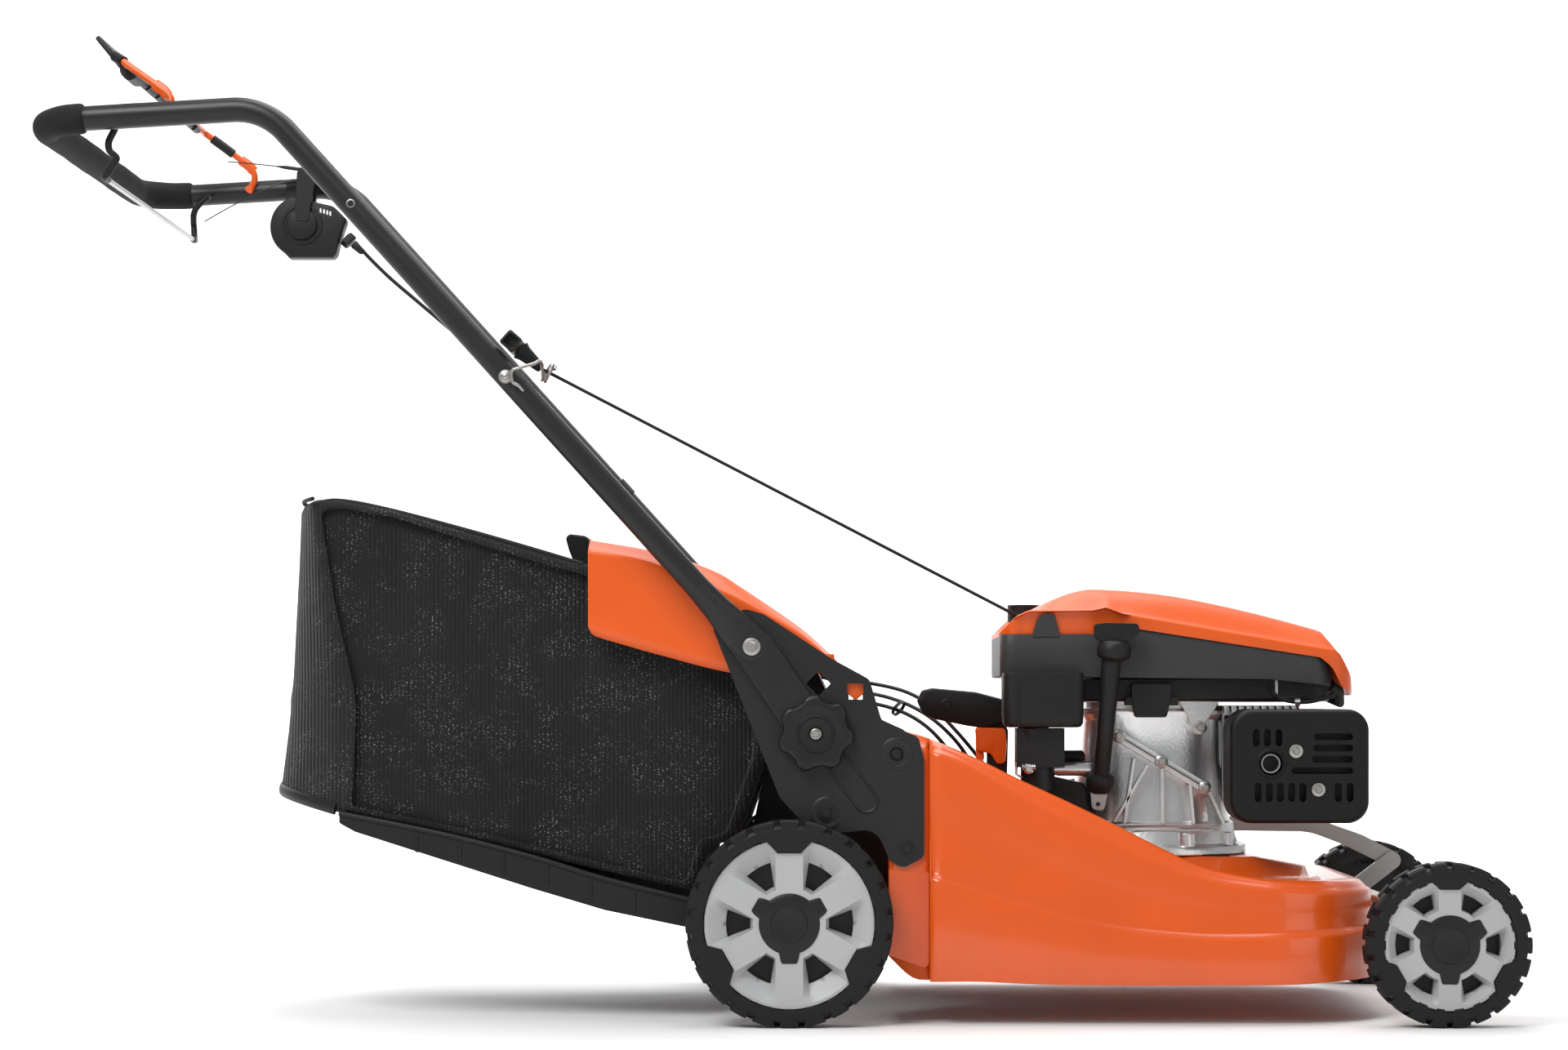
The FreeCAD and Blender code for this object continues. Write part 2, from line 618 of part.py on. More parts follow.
def makeEngine():
    bladeX = size("bladeX")
    plateTop = size("platformTopZ")
    flange = rod(118, (bladeX, 0, plateTop), (bladeX, 0, plateTop + 11))
    case = prism([(348, -80, 26), (510, -80, 26), (510, 80, 26), (348, 80, 26)], plateTop + 10, 372, "XY")
    cylinder = block((505, 600), (-46, 46), (240, 332))
    fins = [block((525 + 14 * row, 530 + 14 * row), (-60, 60), (232, 340)) for row in range(6)]
    head = prism([(600, 228, 10), (640, 234, 10), (640, 338, 10), (600, 344, 10)], -62, 62)
    crankHollow = rod(70, (bladeX, 0, plateTop + 20), (bladeX, 0, 350))
    crankBore = rod(size("crankRadius") + 0.1, (bladeX, 0, plateTop - 5), (bladeX, 0, 380))
    boltHoles = []
    for x, y in engineBoltPlaces():
        boltHoles.append(rod(4.1, (x, y, plateTop - 5), (x, y, plateTop + 15)))
    casting = fused([flange, case, cylinder, head] + fins)
    for hole in [crankHollow, crankBore] + boltHoles:
        casting = cutAway(casting, [hole])
    subpart(casting, "engine_block")
    rim = [(246, -128, 30), (618, -128, 50), (633, 0, 200), (618, 122, 50), (246, 122, 40)]
    inner = [(249, -125, 28), (615, -125, 48), (630, 0, 200), (615, 119, 48), (249, 119, 38)]
    housing = cutAway(prism(rim, 392, 440, "XY"), [prism(inner, 396, 450, "XY"),
                      rod(16, (bladeX, 0, 380), (bladeX, 0, 400))])
    stand = [rod(8, (x, y, 372), (x, y, 392)) for x in (370, 490) for y in (-60, 60)]
    subpart(fused([housing] + stand), "fan_housing")
    # The cover is a dome: a long side outline shared with the housing's plan, then hollowed.
    dome = [(242, 440.5), (246, 466, 16), (283, 488, 30), (340, 499, 60), (470, 488, 300),
            (640, 452, 20), (668, 384), (640, 384), (634, 440.5)]
    plan = [(242, -134, 34), (668, -120, 60), (668, 120, 60), (242, 128, 60)]
    lowered = [(246, 430), (249, 463, 13), (285, 484, 28), (340, 495, 58), (468, 484, 300),
               (632, 449, 14), (660, 380), (637, 380), (634.5, 430)]
    shrunk = [(245, -131, 31), (665, -117, 57), (665, 117, 57), (245, 125, 57)]
    across = [(-134, 380), (-134, 444, 6), (-104, 462, 14), (-50, 500, 60), (60, 500, 60),
              (110, 470, 20), (128, 446, 6), (128, 380)]
    thinner = [(-131, 370), (-131, 443, 4), (-102, 458, 14), (-48, 496, 58), (58, 496, 58),
               (108, 467, 20), (125, 444, 4), (125, 370)]
    outer = shared(prism(dome, -140, 140), prism(plan, 300, 520, "XY"))
    outer = shared(outer, prism(across, 200, 700, "YZ"))
    hollow = shared(prism(lowered, -140, 140), prism(shrunk, 300, 520, "XY"))
    hollow = shared(hollow, prism(thinner, 200, 700, "YZ"))
    capHole = rod(24, (282, 70, 440), (282, 70, 500))
    subpart(cutAway(outer, [hollow, capHole]), "top_cover")
    tank = cutAway(prism([(256, 24, 12), (338, 24, 12), (338, 112, 12), (256, 112, 24)], 397, 452, "XY"),
                   [prism([(259, 27, 10), (335, 27, 10), (335, 109, 10), (259, 109, 22)], 400, 449, "XY")])
    neck = cutAway(rod(17, (282, 70, 450), (282, 70, 472)), [rod(14, (282, 70, 440), (282, 70, 480))])
    subpart(cutAway(fused([tank, neck]), [rod(14, (282, 70, 448), (282, 70, 460))]), "fuel_tank")
    cap = cutAway(rod(20, (282, 70, 465), (282, 70, 486)), [rod(17.3, (282, 70, 460), (282, 70, 480))])
    subpart(cap, "fuel_cap")
    makeIntake()
    makeExhaust()


def makeIntake():
    box = prism([(246, -170, 16), (340, -170, 16), (340, -100, 10), (246, -100, 10)], 336, 391.5, "XY")
    hollow = prism([(249, -167, 13), (337, -167, 13), (337, -103, 7), (249, -103, 7)], 340, 388, "XY")
    subpart(cutAway(box, [hollow]), "air_filter_box")
    bowl = fused([block((262, 318), (-150, -104), (290, 335.7)), rod(20, (288, -126, 262), (288, -126, 291)),
                  rod(9, (300, -110, 300), (341.7, -84, 300))])
    subpart(bowl, "carburettor")
    top = (372, -150, 418)
    foot = (361, -118, 262)
    tube = sweep([foot, top], [], 11.5, 9)
    elbow = rod(8, (361, -108, 257), (361, -80.3, 257))
    seat = cutAway(rod(13, (361, -118, 250), (361, -118, 262)), [rod(5, (361, -118, 252), (361, -118, 270))])
    subpart(fused([tube, seat, elbow]), "oil_filler_tube")
    axis = (Vector(*top) - Vector(*foot)).normalize()
    crown = Vector(*top) + axis * 0.3
    stick = rod(2.5, tuple(crown - axis * 120), tuple(crown + axis * 4))
    lid = rod(15, tuple(crown), tuple(crown + axis * 22))
    wing = prism([(352, 440, 4), (356, 458, 5), (398, 458, 6), (402, 444, 6), (386, 436, 6)], -166, -138)
    subpart(fused([lid, wing, stick]), "dipstick")


def makeExhaust():
    inner = prism([(520, 240, 14), (648, 240, 14), (648, 348, 14), (520, 348, 14)], -168, -118)
    pipe = rod(14, (610, -118.5, 300), (610, -62, 300))
    subpart(fused([inner, pipe]), "muffler")
    outline = [(496, 225, 24), (668, 225, 24), (668, 361, 24), (496, 361, 24)]
    smaller = [(499, 228, 21), (665, 228, 21), (665, 358, 21), (499, 358, 21)]
    slots = [rod(13, (553.5, -200, 293), (553.5, -180, 293))]
    for row in range(4):
        height = 322 - 15 * row
        slots.append(block((598, 650), (-200, -180), (height, height + 7)))
    for column in range(7):
        left = 528 + 17 * column
        slots.append(block((left, left + 8), (-200, -180), (240, 258)))
    for column in range(3):
        left = 528 + 17 * column
        slots.append(block((left, left + 8), (-200, -180), (322, 340)))
    holes = [rod(4.2, (x, -200, z), (x, -168, z)) for x, z in guardBoltPlaces]
    guard = cutAway(prism(outline, -192, -122), [prism(smaller, -189, -115)] + slots + holes)
    subpart(guard, "muffler_guard")
    plug = fused([rod(7, (640, 0, 286), (662, 0, 286)), rod(10, (641, 0, 286), (650, 0, 286)),
                  rod(12, (655, 0, 286), (684, 0, 286))])
    subpart(plug, "spark_plug")


def makeCutter():
    bladeX = size("bladeX")
    shaft = rod("dims.crankRadius", (bladeX, 0, 72), (bladeX, 0, 402))
    web = cutAway(rod(62, (bladeX, 0, 250), (bladeX, 0, 300)), [rod(70, (bladeX, 0, 266), (bladeX, 0, 284))])
    pin = rod(12, (bladeX + 34, 0, 255), (bladeX + 34, 0, 295))
    core = rod("dims.crankRadius", (bladeX, 0, 250), (bladeX, 0, 300))
    subpart(fused([shaft, web, pin, core]), "crankshaft")
    wheel = fused([rod(88, (bladeX, 0, 402), (bladeX, 0, 414)), rod(40, (bladeX, 0, 413), (bladeX, 0, 424))])
    vanes = []
    for turn in range(0, 360, 30):
        c, s = math.cos(math.radians(turn)), math.sin(math.radians(turn))
        vanes.append(rod(2.5, (bladeX + 56 * c, 56 * s, 418), (bladeX + 82 * c, 82 * s, 418)))
    subpart(fused([wheel] + [fused([vane, rod(3, (bladeX + 70 * math.cos(math.radians(30 * n)),
            70 * math.sin(math.radians(30 * n)), 412), (bladeX + 70 * math.cos(math.radians(30 * n)),
            70 * math.sin(math.radians(30 * n)), 419))]) for n, vane in enumerate(vanes)]), "flywheel")
    body = doc.addObject("PartDesign::Body", "blade")
    outline = bodySketch(body, "outline", "XY_Plane")
    half = size("bladeLength") / 2
    wide = size("bladeWidth") / 2
    drawOutline(outline, [(-half, -wide, 4), (half, -wide, 14), (half, wide, 4), (-half, wide, 14)])
    pad(body, outline, "dims.bladeThick")
    doc.recompute()
    hole = bodySketch(body, "hole", "XY_Plane")
    circle(hole, 0, 0, 5.1)
    pocketThrough(body, hole)
    subpart(body, "blade", x="dims.bladeX", z="dims.bladeZ - dims.bladeThick")
    rim = rod(50, (bladeX, 0, 115), (bladeX, 0, 123))
    groove = cutAway(rim, [rod(23, (bladeX, 0, 115), (bladeX, 0, 123))])
    pulley = cutAway(rod(30, (bladeX, 0, 112), (bladeX, 0, 126)), [groove])
    sleeve = rod(20, (bladeX, 0, 62), (bladeX, 0, 126))
    foot = rod(28, (bladeX, 0, 62), (bladeX, 0, 80))
    hub = cutAway(fused([foot, sleeve, pulley]), [rod(12.75, (bladeX, 0, 72), (bladeX, 0, 130)),
                  rod(5.1, (bladeX, 0, 60), (bladeX, 0, 73))])
    bolt = fused([rod(5, (bladeX, 0, 56), (bladeX, 0, 71.9)), rod(15, (bladeX, 0, 55), (bladeX, 0, 58)),
                  rod(9, (bladeX, 0, 49), (bladeX, 0, 55.5))])
    subpart(hub, "blade_adapter")
    subpart(bolt, "blade_bolt")


# ---- handle

def makeHandle():
    half = size("handleHalfWidth")
    bendX = size("railBendX")
    railZ = size("railFrontZ")
    rearX = size("crossbarX")
    rearZ = size("crossbarZ")
    pivotX = size("pivotX")
    pivotZ = size("pivotZ")
    legTubeY = size("legOuterY") - size("legThick") + size("handleRadius")
    along = Vector(bendX - pivotX, 0, railZ - pivotZ).normalize()
    ends = []
    for side in (-1, 1):
        foot = (pivotX + along.x * 26, side * legTubeY, pivotZ + along.z * 26)
        crank = (pivotX + along.x * 110, side * half, pivotZ + along.z * 110)
        ends.append([foot, crank, (bendX, side * half, railZ), (rearX, side * half, rearZ)])
    route = ends[0] + ends[1][::-1]
    corners = [60, 75, 62, 62, 75, 60]
    tube = sweep(route, corners, size("handleRadius"), size("handleRadius") - size("handleWall"))
    legs = []
    for side in (-1, 1):
        near, far = sorted((side * size("legOuterY"), side * (size("legOuterY") - size("legThick"))))
        outline = [(pivotX - 45, pivotZ + 28, 12), (pivotX - 24, pivotZ + 47, 12),
                   (pivotX + 20, pivotZ + 12, 30), (54, 328, 22), (36, 300, 18), (8, 318, 20)]
        holes = [rod(5.1, (pivotX, near - 5, pivotZ), (pivotX, far + 5, pivotZ)),
                 rod(5.1, (size("knobX"), near - 5, size("knobZ")), (size("knobX"), far + 5, size("knobZ")))]
        legs.append(cutAway(prism(outline, near, far), holes))
    guideHole = rod(3.1, (-319, -half, 732), (-319, -half - 20, 732))
    subpart(fused([cutAway(tube, [guideHole])] + legs), "handle_tube")
    # Foam grip: a soft sleeve over the rear crossbar and its corners.
    outerRadius = size("handleRadius") + size("foamThick")
    sleeveX = -786
    sleeveZ = rearZ + (railZ - rearZ) * (sleeveX - rearX) / (bendX - rearX)
    sleeve = [(sleeveX, -half, sleeveZ), (rearX, -half, rearZ), (rearX, half, rearZ), (sleeveX, half, sleeveZ)]
    subpart(sweep(sleeve, [62, 62], outerRadius, size("handleRadius") + 0.05), "foam_grip")


def railHeight(x):
    # Height of the upper rail's middle line.
    rise = (size("railFrontZ") - size("crossbarZ")) / (size("railBendX") - size("crossbarX"))
    return size("crossbarZ") + rise * (x - size("crossbarX"))


def makeControls():
    half = size("handleHalfWidth")
    inside = half - size("handleRadius")
    x, z = -636.5, 987
    flat = block((x - 60, x + 60), (200, 250), (z - 60, z - 41))
    disc = cutAway(rod(44, (x, 214, z), (x, 240, z)), [flat])
    boss = rod(8, (x + 36, 227, z - 14), (x + 60, 227, z - 24))
    clamp = block((x - 16, x + 16), (238, inside), (z + 20, railHeight(x) + 8))
    dialHole = rod(20.3, (x, 206, z), (x, 218, z))
    subpart(cutAway(fused([disc, boss, clamp]), [dialHole]), "control_housing")
    dial = rod(20, (x, 209, z), (x, 217.5, z))
    arm = prism([(x - 8, z + 10), (x + 8, z + 10), (x + 5, z + 66, 4), (x - 9, z + 66, 4)], 209.5, 213.6)
    subpart(fused([dial, arm]), "speed_lever")
    bailWire = 4.5
    reach = inside - 0.5
    pivot = (size("driveBailX"), size("driveBailZ"))
    bar = (pivot[0] - 55, pivot[1] + 71)
    route = [(pivot[0], -reach, pivot[1]), (pivot[0], -reach + 24, pivot[1]), (bar[0], -reach + 18, bar[1]),
             (bar[0], reach - 18, bar[1]), (pivot[0], reach - 24, pivot[1]), (pivot[0], reach, pivot[1])]
    subpart(sweep(route, [12, 20, 20, 12], bailWire), "drive_bail")
    out = Vector(-55, 0, 71).normalize()
    tip = (bar[0] + out.x * 45, bar[1] + out.z * 45)
    across = (-out.z, out.x)
    paddle = prism([(bar[0] - out.x * 9 + across[0] * 8, bar[1] - out.z * 9 + across[1] * 8, 4),
                    (tip[0] + across[0] * 2, tip[1] + across[1] * 2, 1.5),
                    (tip[0] - across[0] * 2, tip[1] - across[1] * 2, 1.5),
                    (bar[0] - out.x * 9 - across[0] * 8, bar[1] - out.z * 9 - across[1] * 8, 4)], -190, 190)
    channel = rod(bailWire + 0.1, (bar[0], -240, bar[1]), (bar[0], 240, bar[1]))
    subpart(cutAway(paddle, [channel]), "bail_paddle")
    pivot = (size("brakeBailX"), size("brakeBailZ"))
    bar = (pivot[0] - 17, pivot[1] - 60)
    route = [(pivot[0], -reach, pivot[1]), (pivot[0], -reach + 16, pivot[1]), (bar[0], -reach + 12, bar[1]),
             (bar[0], reach - 12, bar[1]), (pivot[0], reach - 16, pivot[1]), (pivot[0], reach, pivot[1])]
    subpart(sweep(route, [9, 14, 14, 9], 3.8), "brake_bail")
    makeStarter()
    for side, name in ((-1, "right"), (1, "left")):
        makeKnob(side, f"knob_{name}")


def makeKnob(side, label):
    body = doc.addObject("PartDesign::Body", label)
    start = "dims.legOuterY + dims.clearance" if side < 0 else "-dims.legOuterY - dims.clearance - 20"
    disc = bodySketch(body, "disc", offset=start)
    circle(disc, 0, 0, "dims.knobRadius")
    pad(body, disc, 20)
    lobe = bodySketch(body, "lobe", offset=start)
    circle(lobe, size("knobRadius") - 2, 0, "dims.knobLobe")
    lobePad = pad(body, lobe, 20)
    doc.recompute()
    polar(body, lobePad, disc, "N_Axis", 7)
    doc.recompute()
    studStart = "dims.bracketOuterY + dims.clearance" if side < 0 else "-dims.legOuterY - dims.clearance - 1"
    stud = bodySketch(body, "stud", offset=studStart)
    circle(stud, 0, 0, 5)
    body.Tip = pad(body, stud, "dims.legOuterY - dims.bracketOuterY + 1")
    subpart(body, label, x="dims.knobX", z="dims.knobZ")


def makeStarter():
    # A wire guide bolted to the right rail, the T-shaped starter grip in it, and its rope.
    bolt = flangeBolt((-319, -276.3, 732), (0, -1, 0), 8, 3)
    wire = sweep([(-319, -279, 732), (-299, -280, 750), (-284, -250, 752), (-277, -235, 744)], [10, 10], 2.5)
    ring = doc.addObject("Part::Torus", "ring")
    ring.Radius1 = 11
    ring.Radius2 = 2.5
    ropeLine = Vector(576, 125, -292)
    ring.Placement = FreeCAD.Placement(Vector(-276, -224, 742), FreeCAD.Rotation(Vector(0, 0, 1), ropeLine))
    eyeHole = rod(3.2, (-319, -285, 732), (-319, -270, 732))
    eye = cutAway(rod(8, (-319, -279, 732), (-319, -276.6, 732)), [eyeHole])
    subpart(fused([wire, ring, eye, bolt]), "rope_guide")
    axis = Vector(-50, -5, 44).normalize()
    nose = Vector(-284, -225.7, 746.5)
    tail = nose + axis * 38
    stem = rod(9, tuple(nose), tuple(tail))
    bar = rod(12, (tail.x - 2, -270, tail.z + 2), (tail.x - 2, -182, tail.z + 2))
    subpart(fused([stem, bar]), "starter_grip")


def makeFlap():
    half = size("flapHalfWidth")
    wall = size("flapWall")
    top = [(-231, 553, 10), (-168, 540, 60), (-83, 513, 60), (-20, 474, 80), (52, 424, 6)]
    skirt = [(-231, 451, 12), (-72, 405, 30), (-20, 400, 20), (46, 405, 4)]
    outer = prism(top + skirt[::-1], -half, half)
    under = [(-240, 380), (-240, 548), (-169, 536.5, 60), (-84, 509.5, 60), (-21.5, 470.5, 80),
             (43, 425), (43, 380)]
    hollow = prism(under, -half + wall, half - wall)
    trunnions = []
    for side in (-1, 1):
        for radius, inner, outerEnd in ((6, 125, 238), (4, 237, 242.5)):
            trunnions.append(rod(radius, (46, side * inner, 404), (46, side * outerEnd, 404)))
    subpart(fused([cutAway(outer, [hollow])] + trunnions), "flap")


# ---- grass bag

def makeBag():
    half = size("bagHalfWidth")
    wall = size("bagWall")

    def bagSide(inset):
        return [(-620, 262), (-596 + inset, 604 - inset, 12), (-541, 603 - inset, 40),
                (-233, 523 - inset, 300), (-70, 447 - inset, 60), (-22 - inset, 399 - inset, 4),
                (-62 - inset, 208 + inset, 4), (-94 - inset, 200 + inset, 6), (-110 - inset, 146 + inset, 6),
                (-518, 243 + inset, 6)]

    def bagPlan(inset):
        edge = half - inset
        return [(-560, -edge, 30), (20, -edge), (20, edge), (-560, edge, 30), (-640 + inset, 0, 300)]

    outer = shared(prism(bagSide(0), -half, half), prism(bagPlan(0), 100, 650, "XY"))
    inner = shared(prism(bagSide(wall), -half + wall, half - wall), prism(bagPlan(wall), 100, 650, "XY"))
    mouth = prism([(-120, 452), (-30, 392), (-66, 218), (-120, 170), (0, 170), (0, 452)],
                  -half + 20, half - 20)
    subpart(cutAway(outer, [inner, mouth]), "bag_fabric")
    trayOuter = prism([(-518, 241, 4), (-518, 227, 4), (-430, 196, 60), (-126, 106, 14), (-102, 113, 8),
                       (-86, 186, 6), (-60, 194), (-62, 205.5), (-93, 197.5, 6), (-109, 143.5, 6)], -half, half)
    trayHollow = prism([(-518, 262), (-505, 231), (-430, 201, 60), (-128, 111, 12), (-107, 118, 4),
                        (-101, 145), (-113, 170)], -half + 3, half - 3)
    subpart(cutAway(trayOuter, [trayHollow]), "bag_tray")
    hoop = sweep([(-240, -40, 528), (-250, -40, 548), (-252, 40, 548), (-240, 40, 528)], [9, 9], 6)
    subpart(hoop, "bag_grip")


def makeCords():
    rope = size("ropeRadius")
    cable = size("cableRadius")
    cordTube("starter_rope", [(-282, -225.4, 745.4), (270, -105.2, 465.3)], rope)
    cordTube("speed_cable", [(-572, 227, 960), (-545, 230, 928), (-478, 234, 872), (-400, 236, 805),
                             (-100, 236, 473), (20, 233, 366), (95, 214, 368), (160, 190, 344),
                             (205, 174, 290), (216, 171, 220), (216, 171, 163.2)], cable)
    cordTube("drive_cable", [(-734, 218, 1062), (-655, 222, 1056), (-600, 223, 1044), (-520, 232, 946),
                             (-100, 233, 480), (20, 233, 377), (95, 224, 381), (170, 194, 352),
                             (226, 178, 290), (236, 176, 220), (236, 176, 163.2)], cable)
    cordTube("brake_cable", [(-766, 226, 986), (-715, 226, 1016), (-655, 227, 1042), (-612, 232, 1034),
                             (-520, 236, 954), (-90, 236.5, 482), (10, 236, 397), (95, 230, 392),
                             (160, 208, 374), (212, 186, 320), (256, 168, 262), (340, 160, 262),
                             (398, 130, 282), (432, 83, 296)], cable)


makeDeck()
makeChute()
makeBracket(-1, "bracket_right")
makeBracket(1, "bracket_left")
makeFlangeBolts()
makeRunningGear()
makeHeightControl()
makeEngine()
makeCutter()
makeHandle()
makeControls()
makeFlap()
makeBag()
makeCords()
doc.recompute()

for thing in doc.Objects:
    if "Invalid" in thing.State or "Error" in thing.State:
        raise RuntimeError(f"{thing.Label} failed: {thing.State}")
    cutting = thing.TypeId in ("PartDesign::Pocket", "PartDesign::Groove", "PartDesign::Hole")
    if cutting and thing.Shape.Volume >= thing.BaseFeature.Shape.Volume - 1:
        raise RuntimeError(f"{thing.Label} of {thing.getParent().Label} cuts nothing")

os.makedirs("parts", exist_ok=True)
whole = FreeCAD.BoundBox()
for thing in subparts:
    if thing.Shape.isNull() or not thing.Shape.isValid():
        raise RuntimeError(f"{thing.Label} has no valid shape")
    whole.add(thing.Shape.BoundBox)
    thing.Shape.exportStep(f"parts/{thing.Label}.step")
print(len(subparts), "sub-parts", whole)
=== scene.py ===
import math

import bpy
import numpy as np
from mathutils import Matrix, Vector
from mathutils.geometry import tessellate_polygon
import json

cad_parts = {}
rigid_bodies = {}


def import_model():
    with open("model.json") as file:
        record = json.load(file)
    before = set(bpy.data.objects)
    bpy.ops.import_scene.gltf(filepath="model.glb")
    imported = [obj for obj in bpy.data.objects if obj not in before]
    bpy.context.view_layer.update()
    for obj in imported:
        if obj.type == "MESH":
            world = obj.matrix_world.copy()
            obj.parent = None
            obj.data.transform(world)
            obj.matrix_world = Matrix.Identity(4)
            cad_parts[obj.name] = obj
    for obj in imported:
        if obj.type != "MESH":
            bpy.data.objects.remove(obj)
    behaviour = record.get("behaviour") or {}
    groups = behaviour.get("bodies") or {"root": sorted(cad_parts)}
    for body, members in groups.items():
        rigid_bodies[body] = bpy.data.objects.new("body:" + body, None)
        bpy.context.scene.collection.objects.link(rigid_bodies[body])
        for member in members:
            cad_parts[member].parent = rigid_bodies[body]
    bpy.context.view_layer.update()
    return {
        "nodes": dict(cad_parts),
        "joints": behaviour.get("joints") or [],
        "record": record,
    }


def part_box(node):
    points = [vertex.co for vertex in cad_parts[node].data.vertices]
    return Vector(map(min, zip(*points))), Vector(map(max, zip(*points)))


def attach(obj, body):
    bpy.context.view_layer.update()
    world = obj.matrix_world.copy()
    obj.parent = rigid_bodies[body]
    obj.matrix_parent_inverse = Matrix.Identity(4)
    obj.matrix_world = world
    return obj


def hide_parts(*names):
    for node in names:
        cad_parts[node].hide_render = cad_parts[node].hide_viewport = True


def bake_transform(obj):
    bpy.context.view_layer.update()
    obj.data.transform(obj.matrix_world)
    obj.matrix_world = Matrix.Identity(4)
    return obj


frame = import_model()

# Shapes are drawn in millimetres from the rear axle and the ground, like the part itself.
rearLow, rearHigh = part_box("rear_right_tyre")
axleX = (rearLow.x + rearHigh.x) / 2


pivotSpot = (-43.4, 428.7)
railSlope = np.array([-549.6, 608.3]) / np.linalg.norm([-549.6, 608.3])
railOut = 262
deckHalf = 262
knobSpot = (29.2, 330)
bagHalf = 204
deckFloor = 162.0
deckRear = 158.5
engineX = 430


def toFrame(points):
    placed = np.array(points, float).reshape(-1, 3) / 1000
    placed[:, 0] += axleX
    return placed


# Camera and lights.

camera = bpy.data.cameras.new("camera")
camera.lens = 69.7
camera.sensor_width = 36
camera.shift_x = -0.0469
camera.shift_y = 0.113
cameraObject = bpy.data.objects.new("camera", camera)
cameraObject.location = (0.093, -3.690, 0.366)
cameraObject.rotation_euler = (math.pi / 2, 0, 0)
bpy.context.scene.collection.objects.link(cameraObject)
bpy.context.scene.camera = cameraObject

lightSet = {  # name: place, aim, size, watts
    "key": ((-1.3, -2.2, 2.9), (0, 0, 0.4), 1.5, 84), "fill": ((2.8, -2.6, 1.2), (0.1, 0, 0.4), 2.0, 12),
    "top": ((0.2, 0.4, 3.2), (0, 0, 0), 2.2, 64), "back": ((-2.2, 2.4, 1.9), (0, 0, 0.5), 2.0, 26),
    "wall": ((0, 3.2, 4.2), (0, 6.4, 1.2), 6.0, 420), }
for name, (place, aim, across, power) in lightSet.items():
    light = bpy.data.lights.new(name, "AREA")
    light.size = across
    light.energy = power
    lamp = bpy.data.objects.new(name, light)
    lamp.location = place
    lamp.rotation_euler = (Vector(aim) - Vector(place)).to_track_quat("-Z", "Y").to_euler()
    bpy.context.scene.collection.objects.link(lamp)

world = bpy.data.worlds.new("studio")
world.use_nodes = True
world.node_tree.nodes["Background"].inputs["Color"].default_value = (1, 1, 1, 1)
world.node_tree.nodes["Background"].inputs["Strength"].default_value = 0.4
bpy.context.scene.world = world
bpy.context.scene.view_settings.view_transform = "Standard"


# Finishes.

def setInputs(material, node, values):
    # A value that is another node's output is linked, any other is set.
    for key, value in values.items():
        if isinstance(value, bpy.types.NodeSocket):
            material.node_tree.links.new(value, node.inputs[key])
        else:
            node.inputs[key].default_value = value


def addNode(material, kind, values, output, **settings):
    # A new shader node with its settings and inputs; gives one of its outputs.
    node = material.node_tree.nodes.new("ShaderNode" + kind)
    for key, value in settings.items():
        setattr(node, key, value)
    setInputs(material, node, values)
    return node.outputs[output]


def finish(name, colour, rough, metal=0.0, spread=0.12, grain=400, bump=0.04, coat=0.0, sheen=0.0):
    # Colour and roughness drift with noise in the object's own coordinates, fine noise gives the grain.
    made = bpy.data.materials.new(name)
    made.use_nodes = True
    where = addNode(made, "TexCoord", {}, "Object")
    drift = addNode(made, "TexNoise", {"Scale": 9, "Detail": 5, "Vector": where}, "Fac")
    tint = addNode(made, "ValToRGB", {"Fac": drift}, "Color")
    stops = tint.node.color_ramp.elements
    for stop, place, share in ((stops[0], 0.3, 1 - spread), (stops[1], 0.7, 1 + spread)):
        stop.position = place
        stop.color = (*(min(1, channel * share) for channel in colour), 1)
    roughRange = {"To Min": max(0.02, rough - 0.05), "To Max": min(1, rough + 0.05), "Value": drift}
    fine = addNode(made, "TexNoise", {"Scale": grain, "Detail": 3, "Vector": where}, "Fac")
    setInputs(made, made.node_tree.nodes["Principled BSDF"], {
        "Metallic": metal, "Coat Weight": coat, "Coat Roughness": 0.08, "Sheen Weight": sheen,
        "Specular IOR Level": 0.3 if max(colour) < 0.05 else 0.5, "Base Color": tint,
        "Roughness": addNode(made, "MapRange", roughRange, "Result"),
        "Normal": addNode(made, "Bump", {"Strength": bump, "Distance": 0.001, "Height": fine}, "Normal")})
    return made


def knitFinish(name):
    # Upright ribs from a wave across the length, with pale pinholes where a small cell pattern peaks; the
    # pinholes' paleness is painted light showing through the knit, only in lit noise patches.
    made = finish(name, (0.009, 0.009, 0.0095), 0.85, spread=0.25, grain=900, bump=0.3, sheen=0.06)
    kinds = {node.bl_idname: node for node in made.node_tree.nodes}
    tint = kinds["ShaderNodeValToRGB"].outputs["Color"]
    where = kinds["ShaderNodeTexCoord"].outputs["Object"]
    ribs = addNode(made, "TexWave", {"Scale": 64, "Distortion": 0.6, "Vector": where}, "Fac",
                   wave_type="BANDS", bands_direction="X")
    relief = addNode(made, "Bump", {"Strength": 0.6, "Distance": 0.002, "Height": ribs}, "Normal")
    cells = addNode(made, "TexVoronoi", {"Scale": 430, "Vector": where}, "Distance")
    holes = addNode(made, "MapRange", {"From Min": 0.3, "From Max": 0.12, "Value": cells}, "Result")
    # Painted light: the patches where the pinholes turn pale.
    patches = addNode(made, "TexNoise", {"Scale": 26, "Detail": 4, "Vector": where}, "Fac")
    lit = addNode(made, "MapRange", {"From Min": 0.42, "From Max": 0.62, "Value": patches}, "Result")
    both = addNode(made, "Math", {0: holes, 1: lit}, "Value", operation="MULTIPLY")
    valley = addNode(made, "Math", {0: both, 1: ribs}, "Value", operation="MULTIPLY")
    mixed = {"B": (0.42, 0.42, 0.41, 1), "Factor": valley, "A": tint}
    colour = addNode(made, "Mix", mixed, "Result", data_type="RGBA")
    setInputs(made, kinds["ShaderNodeBsdfPrincipled"], {"Normal": relief, "Base Color": colour})
    return made


